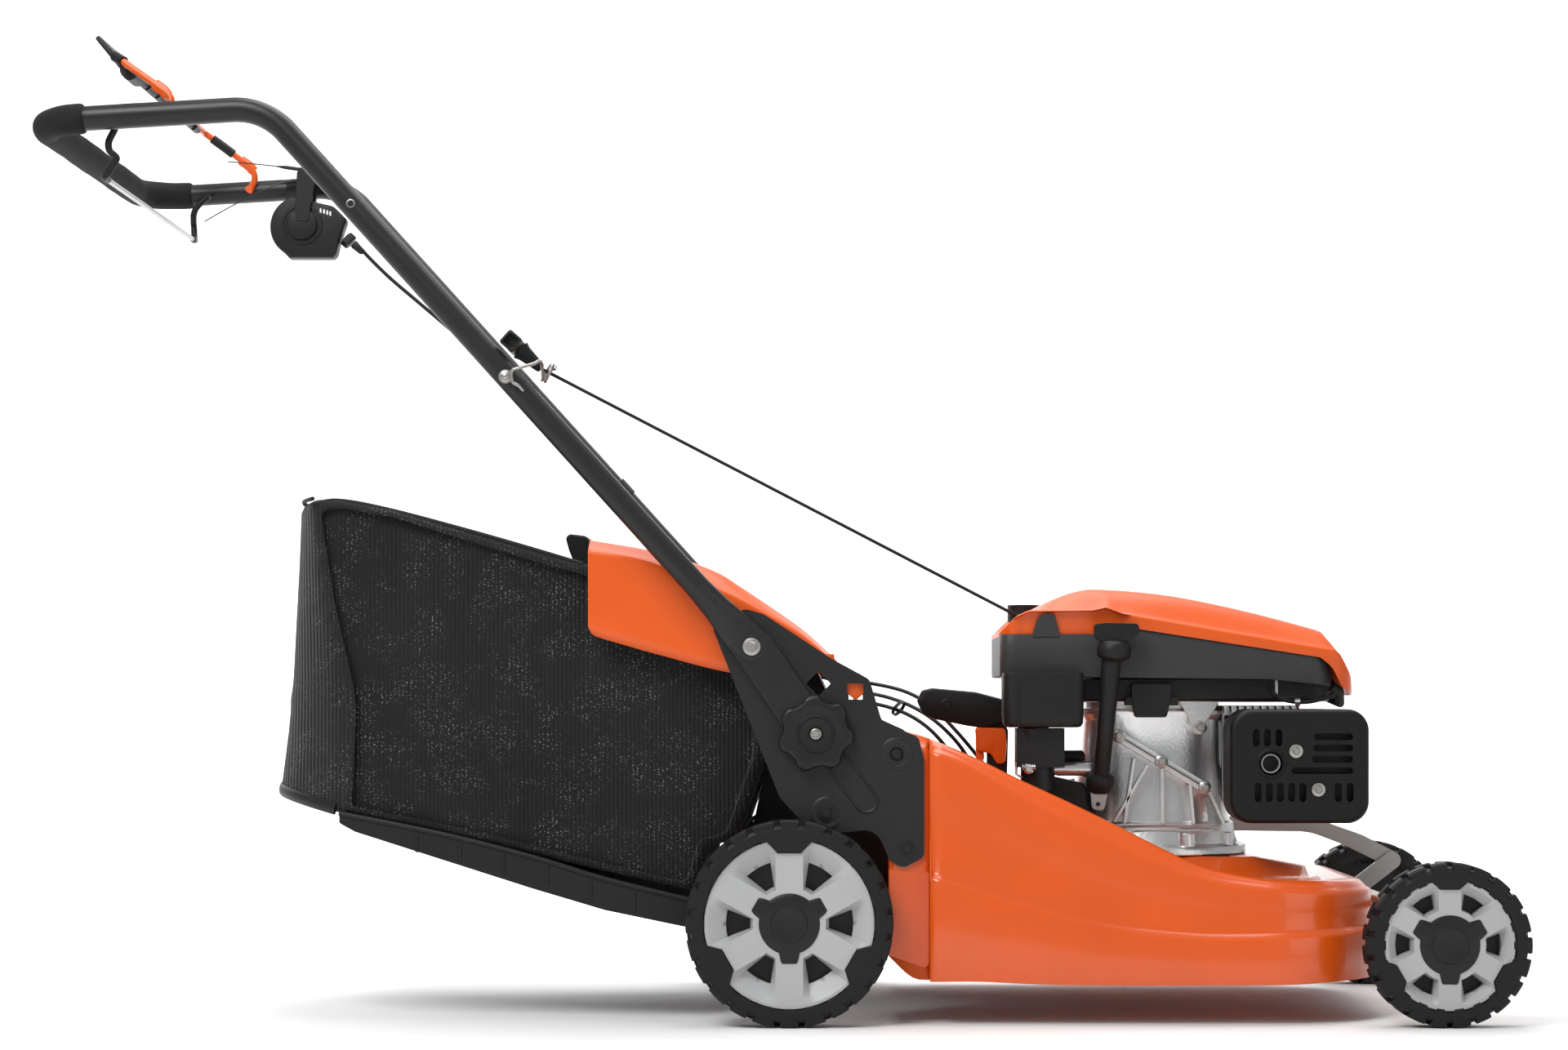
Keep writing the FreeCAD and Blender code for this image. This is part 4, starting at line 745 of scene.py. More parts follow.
def makeDeck():
    outline = cornered([(deckRear, -deckHalf), (690, -deckHalf, 150), (690, deckHalf, 150),
                        (deckRear, deckHalf)], 16)
    plan = divided(outline, 14)
    along = np.gradient(plan, axis=0)
    along /= np.linalg.norm(along, axis=1)[:, None]
    inward = np.stack([-along[:, 1], along[:, 0]], -1)
    if (inward[len(plan) // 2] @ np.array([-1, 0])) < 0:
        inward = -inward
    spine = np.stack([np.clip(plan[:, 0], deckRear, 520), np.zeros(len(plan))], -1)
    x = plan[:, 0]
    bottom, lower, crease, ridge = (alongDeck(key, x) for key in ("bottom", "lower", "crease", "ridge"))
    rows = [
        (5, bottom + 0.3), (0.8, bottom), (0, bottom + 1.5), (0, bottom * 0.5 + lower * 0.5 - 6),
        (0, lower - 7), (1.2, lower - 3), (7, lower + 0.6), (9.2, lower + 3.4),
        (9.8, lower * 0.5 + crease * 0.5), (10.2, crease - 6), (11.4, crease - 1.6), (16, crease + 0.8),
        (19, crease * 0.6 + ridge * 0.4), (23, crease * 0.2 + ridge * 0.8), (28, ridge), (38, ridge - 0.4),
        (60, ridge - 1.5), (68, ridge - 3)]
    floor = deckFloor
    rows += [(72, np.maximum(floor, ridge - 8)), (76, np.maximum(floor, (ridge + floor) / 2 - 4)),
             (79, np.maximum(floor, floor * 0.93 + ridge * 0.07)), (83, np.full(len(x), floor))]
    rings = []
    for inset, level in rows:
        near = plan + inward * inset
        near[:, 0] = np.maximum(near[:, 0], deckRear)
        rings.append(np.column_stack([near, np.broadcast_to(level, len(x))]))
    for share in np.linspace(0, 1, 30)[1:]:
        inner = near * (1 - share) + spine * share
        rings.append(np.column_stack([inner, deckMiddle(inner[:, 0], inner[:, 1])]))
    shell = sheetOf(np.array(rings))
    # Behind the fairings' step the section is narrower: the same heights carried straight back.
    x = np.linspace(112.5, 159, 8)
    lower, crease, ridge = (alongDeck(key, x) for key in ("lower", "crease", "ridge"))
    floor = deckFloor
    section = [(239, alongDeck("bottom", x)), (239, lower), (238.6, crease - 6), (237, crease - 1),
               (232, crease + 2),
               (225, ridge), (200, ridge - 1), (186, ridge - 2), (176, ridge - 9), (166, floor + 12),
               (158, floor), (119, floor), (114, deckMiddle(x, np.full(len(x), 113.9))),
               (60, deckMiddle(x, np.full(len(x), 60.0)))]
    half = [lineAt(x, -y, z) for y, z in section]
    other = [lineAt(x, y, z) for y, z in section[::-1]]
    rear = sheetOf(np.array(half + other))
    ends = []
    for side in (-1, 1):
        step = [(236, 51), (261.5, 51), (261.5, 171), (253, 176), (251, 305), (240, 320), (236, 320)]
        ends.append(plate([(side * y, z) for y, z in step], 158.4, 160, "YZ"))
    piece("deck_pressing", [shell, rear] + ends, "chassis", "orange_paint", ("deck_shell",), angle=50,
          thick=2.2)
    # Rear wall beside the chute.
    walls = []
    for side in (-1, 1):
        outline = cornered([(side * 118, 80), (side * 237, 80, 4), (side * 237, 318, 6),
                            (side * 222, 329, 6),
                            (side * 186, 326, 10), (side * 160, 165, 10), (side * 118, 165)])
        walls.append(plate(outline, 113, 115, "YZ"))
    piece("deck_rear_wall", walls, "chassis", "orange_paint", bevel=0.6)
    # Side plates at the back and welded supports for the lever's pivot.
    sides = []
    for side in (-1, 1):
        outline = cornered([(112, 78), (158, 62, 6), (158, 172), (112, 176)])
        sides.append(plate(outline, side * 238.6, side * 240.2))
    support = cornered([(238, 160), (241, 190, 12), (269, 190, 12), (274, 160)])
    sides += [plate(support, 126, 129), plate(support, 151, 154)]
    sides.append(spun([(0, 0), (6, 0), (6, 28), (0, 28)], (255, 126, 177), (0, 1, 0), 24))
    piece("deck_lugs", sides, "chassis", "orange_paint", bevel=0.6)


makeDeck()
print("stage: deck")


# Rear brackets and knobs.

def makeBracket(side):
    sign = -1 if side == "right" else 1
    outer = sign * 243
    outline = cornered([(-90, 455, 10), (-51, 472, 12), (-30, 466, 30), (46, 416, 14), (90, 392, 10),
                        (104, 345, 10), (146, 326, 10), (152, 300, 8), (152, 190, 10), (128, 177, 12),
                        (113, 186, 8), (98, 222, 22), (60, 218, 12), (24, 218, 16), (-12, 258, 12)])
    diamond = cornered([(32, 401, 1.5), (46, 387, 1.5), (32, 373, 1.5), (18, 387, 1.5)], 3)
    square = cornered([(65, 387, 1.5), (83, 387, 1.5), (83, 369, 1.5), (65, 369, 1.5)], 3)
    main = plate(outline, outer, outer - sign * 3, holes=[diamond, square, arcOutline(8, (121, 307))])
    # A folded flange runs inward along the upper front edge.
    edge = smoothLine([(-60, 470), (-30, 464), (8, 441), (46, 416), (88, 391), (103, 347), (118, 338),
                       (144, 326)], 6)
    fold = np.stack([lineAt(edge[:, 0], outer - sign * reach, edge[:, 1] - 0.5) for reach in (0.4, 11)])
    # Raised long slot: a rounded ring and its floor.
    along = np.array([math.cos(math.radians(-53)), math.sin(math.radians(-53))])
    across = np.array([-along[1], along[0]])
    middle = np.array([66, 281])
    turns = fullTurn(48)
    rings = []
    for reach, level in ((14.5, 0), (13.6, 1.3), (12.6, 1.6), (11.6, 1.2), (10.6, 0.1)):
        shift = np.where(np.cos(turns) > 0, 34, -34)[:, None] * along
        capsule = middle + shift + reach * (np.cos(turns)[:, None] * along + np.sin(turns)[:,
                                                                                           None] * across)
        rings.append(lay(capsule, outer + sign * level, "XZ"))
    slotRing = sheetOf(np.array(rings), closeColumns=True)
    # Dished seats round the two lower bolts.
    seats = [spun([(19, 0.05), (17.5, 1.2), (16, 1.4), (13, 0.3), (12.2, 0.1)], (x, outer, z), (0, sign, 0),
                  36)
             for x, z in ((121, 307), (42, 240))]
    piece(f"bracket_{side}_plate", [main, sheetOf(fold), slotRing] + seats, "chassis", "bracket_paint",
          (f"bracket_{side}",), bevel=0.5)
    bolts = [hexBolt((121, sign * 238, 307), (0, sign, 0), 6.5, 5.5, 12.5),
             hexBolt((133, sign * 243, 199), (0, sign, 0), 6, 5, 10),
             hexBolt((42, sign * 243, 240), (0, sign, 0), 6, 5, 11)]
    pivot = hexBolt((pivotSpot[0], sign * 254, pivotSpot[1]), (0, sign, 0), 6.4, 6.5, 10)
    piece(f"bracket_{side}_bolts", bolts, "chassis", "dark_paint")
    piece(f"pivot_{side}_bolt", [pivot], "chassis", "zinc")
    tab = plate(cornered([(62, 392), (86, 392), (86, 378, 8), (76, 370, 4), (76, 362), (72, 362),
                          (72, 370, 4), (62, 378, 8)]), sign * 236, sign * 237.5)
    piece(f"bracket_{side}_tab", [tab], "chassis", "orange_plastic", bevel=0.3)


def makeKnob(side):
    # Seven-lobed rim: the outline radius swings with the angle, dished face and a centre boss.
    sign = -1 if side == "right" else 1
    low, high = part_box("knob_" + side)
    inner = 1000 * (low.y if sign > 0 else high.y)
    turns = fullTurn(168)
    swing = np.cos(7 * (turns + 0.12))
    swing = np.sign(swing) * np.abs(swing) ** 0.6
    mean, lobe = 41.6, 3.6
    outline = mean + lobe * swing
    shares = [(0.45, 0), (0.9, 0), (0.955, 2), (0.98, 9), (0.97, 13), (0.93, 15.6), (0.86, 16.6),
              (0.7, 15.6), (0.545, 15.0)]
    rows = [(mean * share + (outline - mean) * share**3, level) for share, level in shares]
    rows += [(22.3, 15), (21, 16.4), (19.5, 16.2), (18.5, 14.6), (12, 14.0), (8.5, 14.0), (7.6, 11),
             (0, 11)]
    rings = [around(reach, turns, inner + sign * level, knobSpot) for reach, level in rows]
    bolt = hexBolt((knobSpot[0], inner + sign * 10.5, knobSpot[1]), (0, sign, 0), 5, 6, 6.6)
    piece(f"knob_{side}_star", [sheetOf(np.array(rings), closeColumns=True)], "knob_" + side, "dark_paint",
          ("knob_" + side,), angle=40, extra=[(bolt, "zinc")])


for side in ("right", "left"):
    makeBracket(side)
    makeKnob(side)
print("stage: brackets and knobs")


# Flap, bag and tray.

def makeFlap():
    ridge = smoothLine([(-231, 538), (-164, 527), (-81, 494), (-44, 476), (6.6, 446), (40, 420)], 8)
    top = smoothLine([(-231, 552), (-164, 540.5), (-113, 526), (-81, 513), (-62, 501), (-29, 479),
                      (14, 448.5), (50, 416)], 8)
    bottom = smoothLine([(-231, 452), (-226, 443), (-216, 439), (-150, 420), (-71, 400), (-20, 396),
                         (46, 400)], 8)
    x = np.concatenate([[-231, -230, -227], np.linspace(-222, 50, 60)])
    r = np.interp(x, ridge[:, 0], ridge[:, 1])
    t = np.interp(x, top[:, 0], top[:, 1])
    b = np.interp(x, bottom[:, 0], bottom[:, 1])
    half = 228
    rows = []
    for share in np.linspace(0, 1, 8):
        rows.append((half - 1.5 * (1 - share), b * (1 - share) + (r - 3) * share))
    rows += [(half - 0.4, r - 0.8), (half - 1.6, r + 1), (half - 12, (r + t) / 2), (half - 22, t - 1.6),
             (half - 26, t)]
    rows += [(y, t + 0.8) for y in (190, 150, 100, 50)]
    grid = [lineAt(x, -y, z) for y, z in rows]
    other = [lineAt(x, y, z) for y, z in rows[::-1]]
    shell = sheetOf(np.array(grid + [lineAt(x, 0, t + 1)] + other))
    piece("flap_cover", [shell], "flap", "orange_plastic", ("flap",), angle=40, thick=2.6)
    rods = []
    for side in (-1, 1):
        rods.append(spun([(0, 0), (6, 0), (6, 112), (0, 112)], (46, side * 125, 404), (0, side, 0), 24))
    piece("flap_pins", rods, "flap", "orange_plastic", bevel=0.5)


def bagOutline():
    # Side view of the fabric: tall rear wall, sloping top, narrow front neck.
    return cornered([(-514, 239, 4), (-511, 371, 200), (-534, 485, 200), (-549, 599, 10), (-520, 600, 30),
                     (-465, 590, 60),
                     (-307, 545, 90), (-233, 524, 90), (-70, 447, 60), (-22, 399, 6), (-30, 300, 40),
                     (-62, 208, 12), (-94, 200, 12), (-110, 148, 10)], 8)


def bagRear(points):
    # Behind x = -440 the fabric is drawn out towards the rear wall's line, most of all at the middle.
    points = points.copy()
    x, y, z = points.T
    edge = np.interp(z, [239, 371, 485, 600], [-514, -511, -534, -549])
    wall = np.interp(z, [246, 400, 600], [-613, -598, -583])
    swell = 1 - np.abs(y / 205) ** 3.2
    behind = np.clip((-440 - x) / (-440 - edge), 0, 1)
    points[:, 0] = x + (wall - edge) * behind * swell
    points[:, 2] = z + 24 * swell * behind**3 * np.clip((330 - z) / 91, 0, 1)
    return points


def evenly(outline, count):
    closed = np.vstack([outline, outline[:1]])
    reach = np.concatenate([[0], np.cumsum(np.linalg.norm(np.diff(closed, axis=0), axis=1))])
    spots = np.linspace(0, reach[-1], count, endpoint=False)
    return np.stack([np.interp(spots, reach, closed[:, k]) for k in (0, 1)], -1)


def makeBag():
    outline = evenly(bagOutline(), 220)
    centre = np.array([-330, 370])
    half = bagHalf
    edgeRadius = 13
    rng = np.random.default_rng(4)
    waves = [(rng.uniform(0.012, 0.03), rng.uniform(-0.02, 0.02), rng.uniform(0, 6), rng.uniform(0.5, 1.2))
             for _ in range(7)]

    def sag(flat):
        # Soft folds: a few long sine waves over the panel.
        total = np.zeros(len(flat))
        for a, b, c, amount in waves:
            total += amount * np.sin(a * flat[:, 0] + b * flat[:, 1] + c)
        return total

    rings = []
    for share in (0, 0.15, 0.3, 0.45, 0.6, 0.72, 0.82, 0.9, 0.95):
        flat = centre + (outline - centre) * share
        bulge = 3 + 5 * share**2
        rings.append(np.column_stack([flat[:, 0], -(half - bulge + sag(flat)), flat[:, 1]]))
    away = outline - centre
    away /= np.linalg.norm(away, axis=1)[:, None]
    for turn in np.linspace(0, math.pi / 2, 6):
        flat = outline - away * edgeRadius * (1 - math.sin(turn))
        rings.append(lay(flat, -(half - edgeRadius + edgeRadius * math.cos(turn)), "XZ"))
    rings += [lay(outline, y, "XZ") for y in np.linspace(-half + edgeRadius + 1, 0, 9)[1:]]
    rings = np.array([bagRear(ring) for ring in rings])
    mirrored = rings[::-1][1:].copy()
    mirrored[..., 1] *= -1
    body = sheetOf(np.concatenate([rings, mirrored]), closeColumns=True)
    piece("bag_knit", [body], "grass_bag", "bag_fabric", ("bag_fabric",), angle=60)
    # Piping on the top corner of each side, a bound hem below and the rear seam.
    trims = []
    for side in (-1, 1):
        top = smoothLine([(-549, side * 199, 594), (-520, side * 196, 598), (-465, side * 196, 588),
                          (-381, side * 196, 566), (-307, side * 196, 545), (-240, side * 196, 525)], 8)
        trims.append(tube(top, 2.6, 8))
        seam = smoothLine([(-549, side * 198, 594), (-534, side * 199, 485), (-520, side * 199, 420),
                           (-511, side * 200, 371), (-511, side * 200, 300), (-514, side * 200, 240)], 8)
        trims.append(tube(seam, 2.4, 8))
    wide = np.linspace(-199, 199, 40)
    low = bagRear(np.column_stack([np.full(40, -515.0), wide, np.full(40, 241.0)]))
    hem = tube(low, 4.4, 8, squeeze=(0.5, 1.6))
    high = bagRear(np.column_stack([np.full(40, -547.0), wide, np.full(40, 600.0)]))
    trims.append(tube(high, 2.6, 8))
    piece("bag_piping", trims, "grass_bag", "belt_rubber", angle=60)
    piece("bag_hem", hem, "grass_bag", "black_plastic", angle=60)
    grip = plate(cornered([(-276, 569, 6), (-270, 548, 5), (-262, 528, 4), (-237, 524, 4), (-237, 552, 6),
                           (-250, 566, 8)]), -46, 46)
    piece("bag_top_grip", [grip], "grass_bag", "black_plastic", ("bag_grip",), bevel=3)


def makeTray():
    half = 1000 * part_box("bag_tray")[1].y
    flat = cornered([(-519, 240, 2), (-398, 216, 30), (-298, 190.6, 30), (-214, 165, 30), (-114, 141, 3),
                     (-118, 107, 5), (-214, 127, 30), (-298, 152, 30), (-398, 184, 30), (-501, 217, 8),
                     (-519, 227, 4)], 5)
    body = plate(flat, -half + 0.5, half - 0.5)
    ribs = []
    for side in (-1, 1):
        rim = smoothLine([(-519, 238.5), (-398, 214), (-298, 188.6), (-214, 163), (-116, 139)], 8)
        ribs.append(tube(lay(rim, side * (half - 1), "XZ"), 3.4, 8))
        for x in range(-430, -130, 50):
            top = np.interp(x, rim[:, 0], rim[:, 1]) - 6
            ribs.append(plate([(x - 2, top), (x + 2, top), (x + 2, top - 22), (x - 2, top - 20)],
                              side * (half - 1.5), side * (half + 0.6)))
    piece("bag_tray_shell", [body], "grass_bag", "black_plastic", ("bag_tray",), bevel=3.5)
    piece("bag_tray_ribs", ribs, "grass_bag", "black_plastic", bevel=0.5)


makeFlap()
makeBag()
makeTray()
print("stage: flap, bag and tray")


# Engine.

def ringRows(plan, rows, spine=None):
    # Rings of a plan outline, each moved inward and set at its height; spine closes the top along a line.
    closed = np.asarray(plan, float)
    along = np.roll(closed, -1, 0) - np.roll(closed, 1, 0)
    along /= np.linalg.norm(along, axis=1)[:, None]
    inward = np.stack([-along[:, 1], along[:, 0]], -1)
    middle = closed.mean(0)
    if np.mean(np.sum(inward * (middle - closed), 1)) < 0:
        inward = -inward
    rings = []
    for inset, level in rows:
        near = closed + inward * np.reshape(inset, (-1, 1))
        rings.append(np.column_stack([near, np.broadcast_to(level, len(near))]))
    if spine:
        low, high, heights, steps = spine
        last = rings[-1]
        x = np.clip(closed[:, 0], low, high)
        target = lineAt(x, middle[1], np.interp(x, heights[:, 0], heights[:, 1]))
        for share in np.linspace(0, 1, steps)[1:]:
            rings.append(last * (1 - share) + target * share)
    return sheetOf(np.array(rings), closeColumns=True)


coverPlan = evenly(cornered([(243, -133, 34), (400, -133), (655, -128, 34), (668, -60, 60), (668, 60, 60),
                             (655, 122, 34), (243, 127, 34)], 8), 260)


def makeCover():
    x = coverPlan[:, 0]
    near = coverPlan[:, 1]
    edge = np.interp(x, [242, 394, 404, 620, 634, 647, 668], [446, 446, 455, 421.5, 410, 386, 377])
    crease = np.interp(x, [242, 262, 278, 352, 368, 386, 404, 642, 655, 668],
                       [448, 466, 472.5, 473.5, 477, 470, 466.5, 425.5, 405, 382])
    crown = smoothLine([(242, 449), (255, 458), (274, 469.5), (306, 487), (336, 497.3), (366, 499.4),
                        (440, 493),
                        (514, 479), (587, 461), (636, 446), (652, 431), (662, 407), (668, 384)], 6)
    peak = np.interp(x, crown[:, 0], crown[:, 1])
    recess = np.interp(x, [258, 266, 388, 398], [0, 9, 9, 0]) * (near < -60)
    rows = [(2.5 + recess, edge - 3), (0.6 + recess, edge - 3), (0.3 + recess, edge),
            (0.2 + recess, crease - 3),
            (0.2 + recess * 0.9, crease - 1.2), (0.8, crease), (3, crease + 1.5)]
    for share in np.linspace(0.08, 1, 9):
        rise = math.sin(share * math.pi / 2) ** 1.1
        rows.append((3 + 34 * share, crease + 1.5 + (np.maximum(peak, crease + 1.5) - crease - 1.5) * rise))
    spineLine = np.column_stack([crown[:, 0], crown[:, 1] + 0.6])
    shell = ringRows(coverPlan, rows, (300, 610, spineLine, 8))
    piece("engine_cover", [shell], "chassis", "orange_plastic", ("top_cover",), angle=45, thick=2)
    eyelet = cornered([(281, 442), (287, 463, 5), (297, 471, 6), (308, 469, 5), (314, 442)], 5)
    piece("rope_eyelet", [plate(eyelet, -130.5, -110)], "chassis", "band_plastic", bevel=1.2)


def makeBand():
    plan = evenly(cornered([(244, -129, 16), (400, -130), (630, -126, 26), (646, -60, 30), (646, 60, 30),
                            (630, 120, 26), (244, 123, 16)], 8), 240)
    x = plan[:, 0]
    high = np.interp(x, [242, 394, 404, 620, 634, 646], [446, 446, 455, 421.5, 410, 388])
    low = np.interp(x, [242, 560, 646], [396, 392.5, 383.5])
    high = np.maximum(high, low + 2)
    rows = [(12, low + 1), (2, low), (0.5, low + 0.6), (0, low + 3), (0, low * 0.5 + high * 0.5),
            (0, high - 1.5), (0.8, high - 0.4), (4, high), (12, high - 0.5)]
    piece("engine_band", [ringRows(plan, rows)], "chassis", "band_plastic", ("fan_housing",), angle=45)
    under = evenly(cornered([(330, -112, 12), (636, -112, 20), (636, 108, 20), (330, 108, 12)], 6), 120)
    shroud = ringRows(under, [(30, 366), (3, 367), (0, 370), (0, 393), (30, 394)])
    clip = plate(cornered([(399, 368, 3), (403, 348, 4), (440, 348, 4), (445, 368, 3), (446, 388, 4),
                           (398, 388, 4)]),
                 -121, -104)
    ears = [plate(cornered([(x - 6, 362, 2), (x + 6, 362, 2), (x + 6, 372, 2), (x - 6, 372, 2)]), -120,
                  -106)
            for x in (397, 448)]
    piece("engine_shroud", [shroud, clip] + ears, "chassis", "black_plastic", bevel=0.8)


def makeFilterBox():
    rings = []
    for level, grow in ((336.5, -7), (337.5, -3.5), (341, -1.2), (352, -0.4), (396, 0), (400, -0.5),
                        (400.5, -6)):
        outline = cornered([(246 - grow, -170 - grow, 12), (340 + grow, -170 - grow, 12),
                            (340 + grow, -100 + grow, 8), (246 - grow, -100 + grow, 8)], 5)
        if level < 352:
            outline[:, 0] = np.maximum(outline[:, 0], 247)
        rings.append(lay(outline, level, "XY"))
    rib = plate([(262, 337), (264, 337), (264, 391), (262, 391)], -170.8, -168)
    piece("filter_box_shell", [capped(rings), rib], "chassis", "black_plastic", ("air_filter_box",),
          angle=30)
    # Duct, control plate and aluminium intake tube below the box.
    duct = [tube([(277, -140, 338), (277, -136, 318), (279, -126, 300)], 13, 14),
            plate(cornered([(268, 338), (300, 338), (297, 312, 4), (268, 300, 4)]), -146, -120)]
    piece("intake_duct", duct, "chassis", "black_plastic", bevel=1)
    pipe = [spun([(0, 0), (8.6, 0), (8.6, 4), (7.6, 6), (7.6, 20), (8.4, 22), (8.4, 52), (10, 56), (10, 62),
                  (0, 62)],
                 (291, -122, 287.5), (1, 0.25, 0), 28),
            hexBolt((276, -150, 288), (0, -1, 0), 4.2, 7, 6),
            tube([(262, -146, 296), (262, -146, 282), (268, -146, 278)], 1.6, 8)]
    coil = np.linspace(0, 8 * 2 * math.pi, 140)
    x = 268 + coil / coil[-1] * 16
    pipe.append(tube(np.column_stack([x, -151 + 3.4 * np.cos(coil), 290 + 3.4 * np.sin(coil)]), 0.8, 6))
    piece("intake_tube", pipe, "chassis", "cast_aluminium")


def makeCrankcase():
    turns = fullTurn(96)

    def section(level, halfX, halfY, power):
        across = np.abs(np.cos(turns) / halfX) ** power + np.abs(np.sin(turns) / halfY) ** power
        reach = across ** (-1 / power)
        return np.column_stack([engineX + reach * np.cos(turns), reach * np.sin(turns), np.full(96, level)])

    sizes = [(184.6, 116, 116, 2), (185.2, 117.6, 117.6, 2), (193, 117.6, 117.6, 2), (195, 116.5, 116.5, 2),
             (197, 108, 108, 2), (206, 104, 104, 2.2), (222, 101, 99, 2.4), (224, 97, 95, 2.6),
             (262, 90, 88, 3),
             (300, 84, 82, 3.6), (345, 82, 80, 4.5), (352, 86, 84, 5), (356, 86, 84, 5), (358, 81, 79, 5),
             (371, 81, 79, 5), (372, 70, 70, 5), (372, 4, 4, 2)]
    parts = [sheetOf(np.array([section(*row) for row in sizes]), closeColumns=True)]
    # Slanted joint flange across the near side, with its bosses and bolts.
    slope = math.radians(-31)
    along = np.array([math.cos(slope), math.sin(slope)])
    across = np.array([-along[1], along[0]])
    middle = np.array([434, 297])

    def slanted(a, b, half, low, high):
        corners = [middle + along * a + across * -half, middle + along * b + across * -half,
                   middle + along * b + across * half, middle + along * a + across * half]
        return plate(cornered([(*corner, half * 0.8) for corner in corners], 3), low, high)

    parts += [slanted(-62, 68, 6.5, -99, -70), slanted(-60, 66, 2, -102, -90)]
    bosses = [middle + along * place for place in (-56, 2, 62)]
    for spot in bosses:
        parts.append(spun([(0, 30), (8, 30), (8, 2), (7, 0), (0, 0)], (spot[0], -104, spot[1]), (0, 1, 0),
                          20))
    # Upright and raking ribs under the flange, thinner webs above it.
    for foot, top, half in (((392, 222), (404, 300), 2.2), ((437, 222), (437, 288), 2.6),
                            ((474, 222), (470, 268), 2.2),
                            ((380, 224), (420, 292), 2), ((510, 222), (492, 262), 2.2)):
        a, b = np.array(foot, float), np.array(top, float)
        run = (b - a) / np.linalg.norm(b - a)
        side = np.array([-run[1], run[0]]) * half
        parts.append(plate(np.array([a - side, b - side, b + side, a + side]), -101, -60))
    for place, level in ((378, 336), (482, 336)):
        parts.append(spun([(0, 34), (9.5, 34), (9, 2), (8, 0), (0, 0)], (place, -95, level), (0, 1, 0), 24))
    parts.append(plate(cornered([(456, 369), (505, 369, 4), (500, 358, 8), (488, 342, 8), (484, 330, 5),
                                 (474, 330, 5), (470, 345, 8)]), -96, -88))
    parts.append(plate(cornered([(345, 366, 1), (520, 366, 1), (520, 370, 1), (345, 370, 1)]), -101, -60))
    for level in (214, 220):
        parts.append(plate([(356, level), (504, level), (504, level + 1.6), (356, level + 1.6)], -103, -60))
    # Lower pads on the flange and the spacer foot.
    for turn in (250, 290, 215, 325):
        spot = (engineX + 104 * math.cos(math.radians(turn)), 104 * math.sin(math.radians(turn)), 195)
        parts.append(spun([(0, 0), (11, 0), (10, 16), (0, 16)], spot, (0, 0, 1), 20))
    # Cylinder fins and head in front.

    def block(half, low, high, radius, start, stop):
        corners = [(-half, low, radius), (half, low, radius), (half, high, radius), (-half, high, radius)]
        return plate(cornered(corners), start, stop, "YZ")

    parts += [block(62, 246, 362, 10, x, x + 3) for x in range(512, 604, 9)]
    parts += [block(48, 258, 350, 10, 500, 612), block(60, 250, 358, 14, 610, 638)]
    piece("crankcase_casting", parts, "chassis", "cast_aluminium", ("engine_block",), bevel=0.8, angle=40)
    bolts = [hexBolt((spot[0], -104, spot[1]), (0, -1, 0), 4.6, 5, 6.5) for spot in bosses]
    bolts += [hexBolt((378, -95, 336), (0, -1, 0), 5.5, 6, 8.5),
              hexBolt((482, -97, 336), (0, -1, 0), 5.2, 7, 8)]
    piece("crankcase_bolts", bolts, "chassis", "zinc")
    # Painted shade: near-black strips in the gaps, along the flange's joint and inside the case's foot, and a
    # patch on the deck where the case meets it.
    gapShade = [slanted(-60, 66, 0.7, -102.6, -90),
            plate(cornered([(404, 188), (502, 188), (502, 197, 2), (404, 197, 2)]), -60, 20),
            plate([(470, 180), (516, 180), (516, 186), (470, 186)], -104, -60)]
    piece("crankcase_gap_shade", gapShade, "chassis", "guard_paint")
    cover = plate(cornered([(268, 222), (268, 268, 12), (290, 282, 12), (345, 270, 10), (350, 222)]), -118,
                  -30)
    piece("belt_cover", [cover], "chassis", "black_plastic", bevel=3)


def makeFiller():
    line = smoothLine([(372.8, -150, 420), (370, -146, 380), (366.4, -136, 330), (363, -124, 285),
                       (361, -118, 262)], 6)
    radii = np.interp(line[:, 2], [262, 300, 420], [9.6, 9.8, 11.4])
    stem = tube(line, radii, 24)
    collar = spun([(9, 24), (13, 22), (16.5, 19), (17, 13), (15.5, 7), (12.5, 2), (11, 0), (0, 0)],
                  (361.5, -119, 259), (0.02, -0.1, 1), 32)
    piece("filler_tube", [stem, collar], "chassis", "black_plastic", ("oil_filler_tube",))
    strap = plate(cornered([(350, 262), (352, 240, 5), (366, 238, 5), (371, 262)]), -124, -122,
                  holes=[arcOutline(2.6, (359, 246))])
    piece("filler_strap", [strap], "chassis", "zinc", bevel=0.4)
    cap = spun([(0, 0), (12, 0), (12.6, 1.5), (17, 3), (19.5, 6), (20, 12), (19, 19), (16, 23), (10, 25),
                (0, 25)],
               (374, -152, 414), (0.09, -0.1, 1), 36)
    wing = plate(cornered([(352, 441, 7), (352, 457, 4), (366, 458.5, 8), (404, 457.5, 5), (404.5, 445, 7),
                           (392, 437, 8), (378, 435, 10), (362, 436, 8)], 6), -160, -146)
    piece("dipstick_cap", [cap, wing], "dipstick", "black_plastic", ("dipstick",), bevel=1.6)
    # The measuring rod hangs inside the tube.
    piece("dipstick_rod", [tube([(372.8, -150, 425), (366.4, -136, 330), (362, -121, 280)], 1.4, 8)],
          "dipstick", "steel")


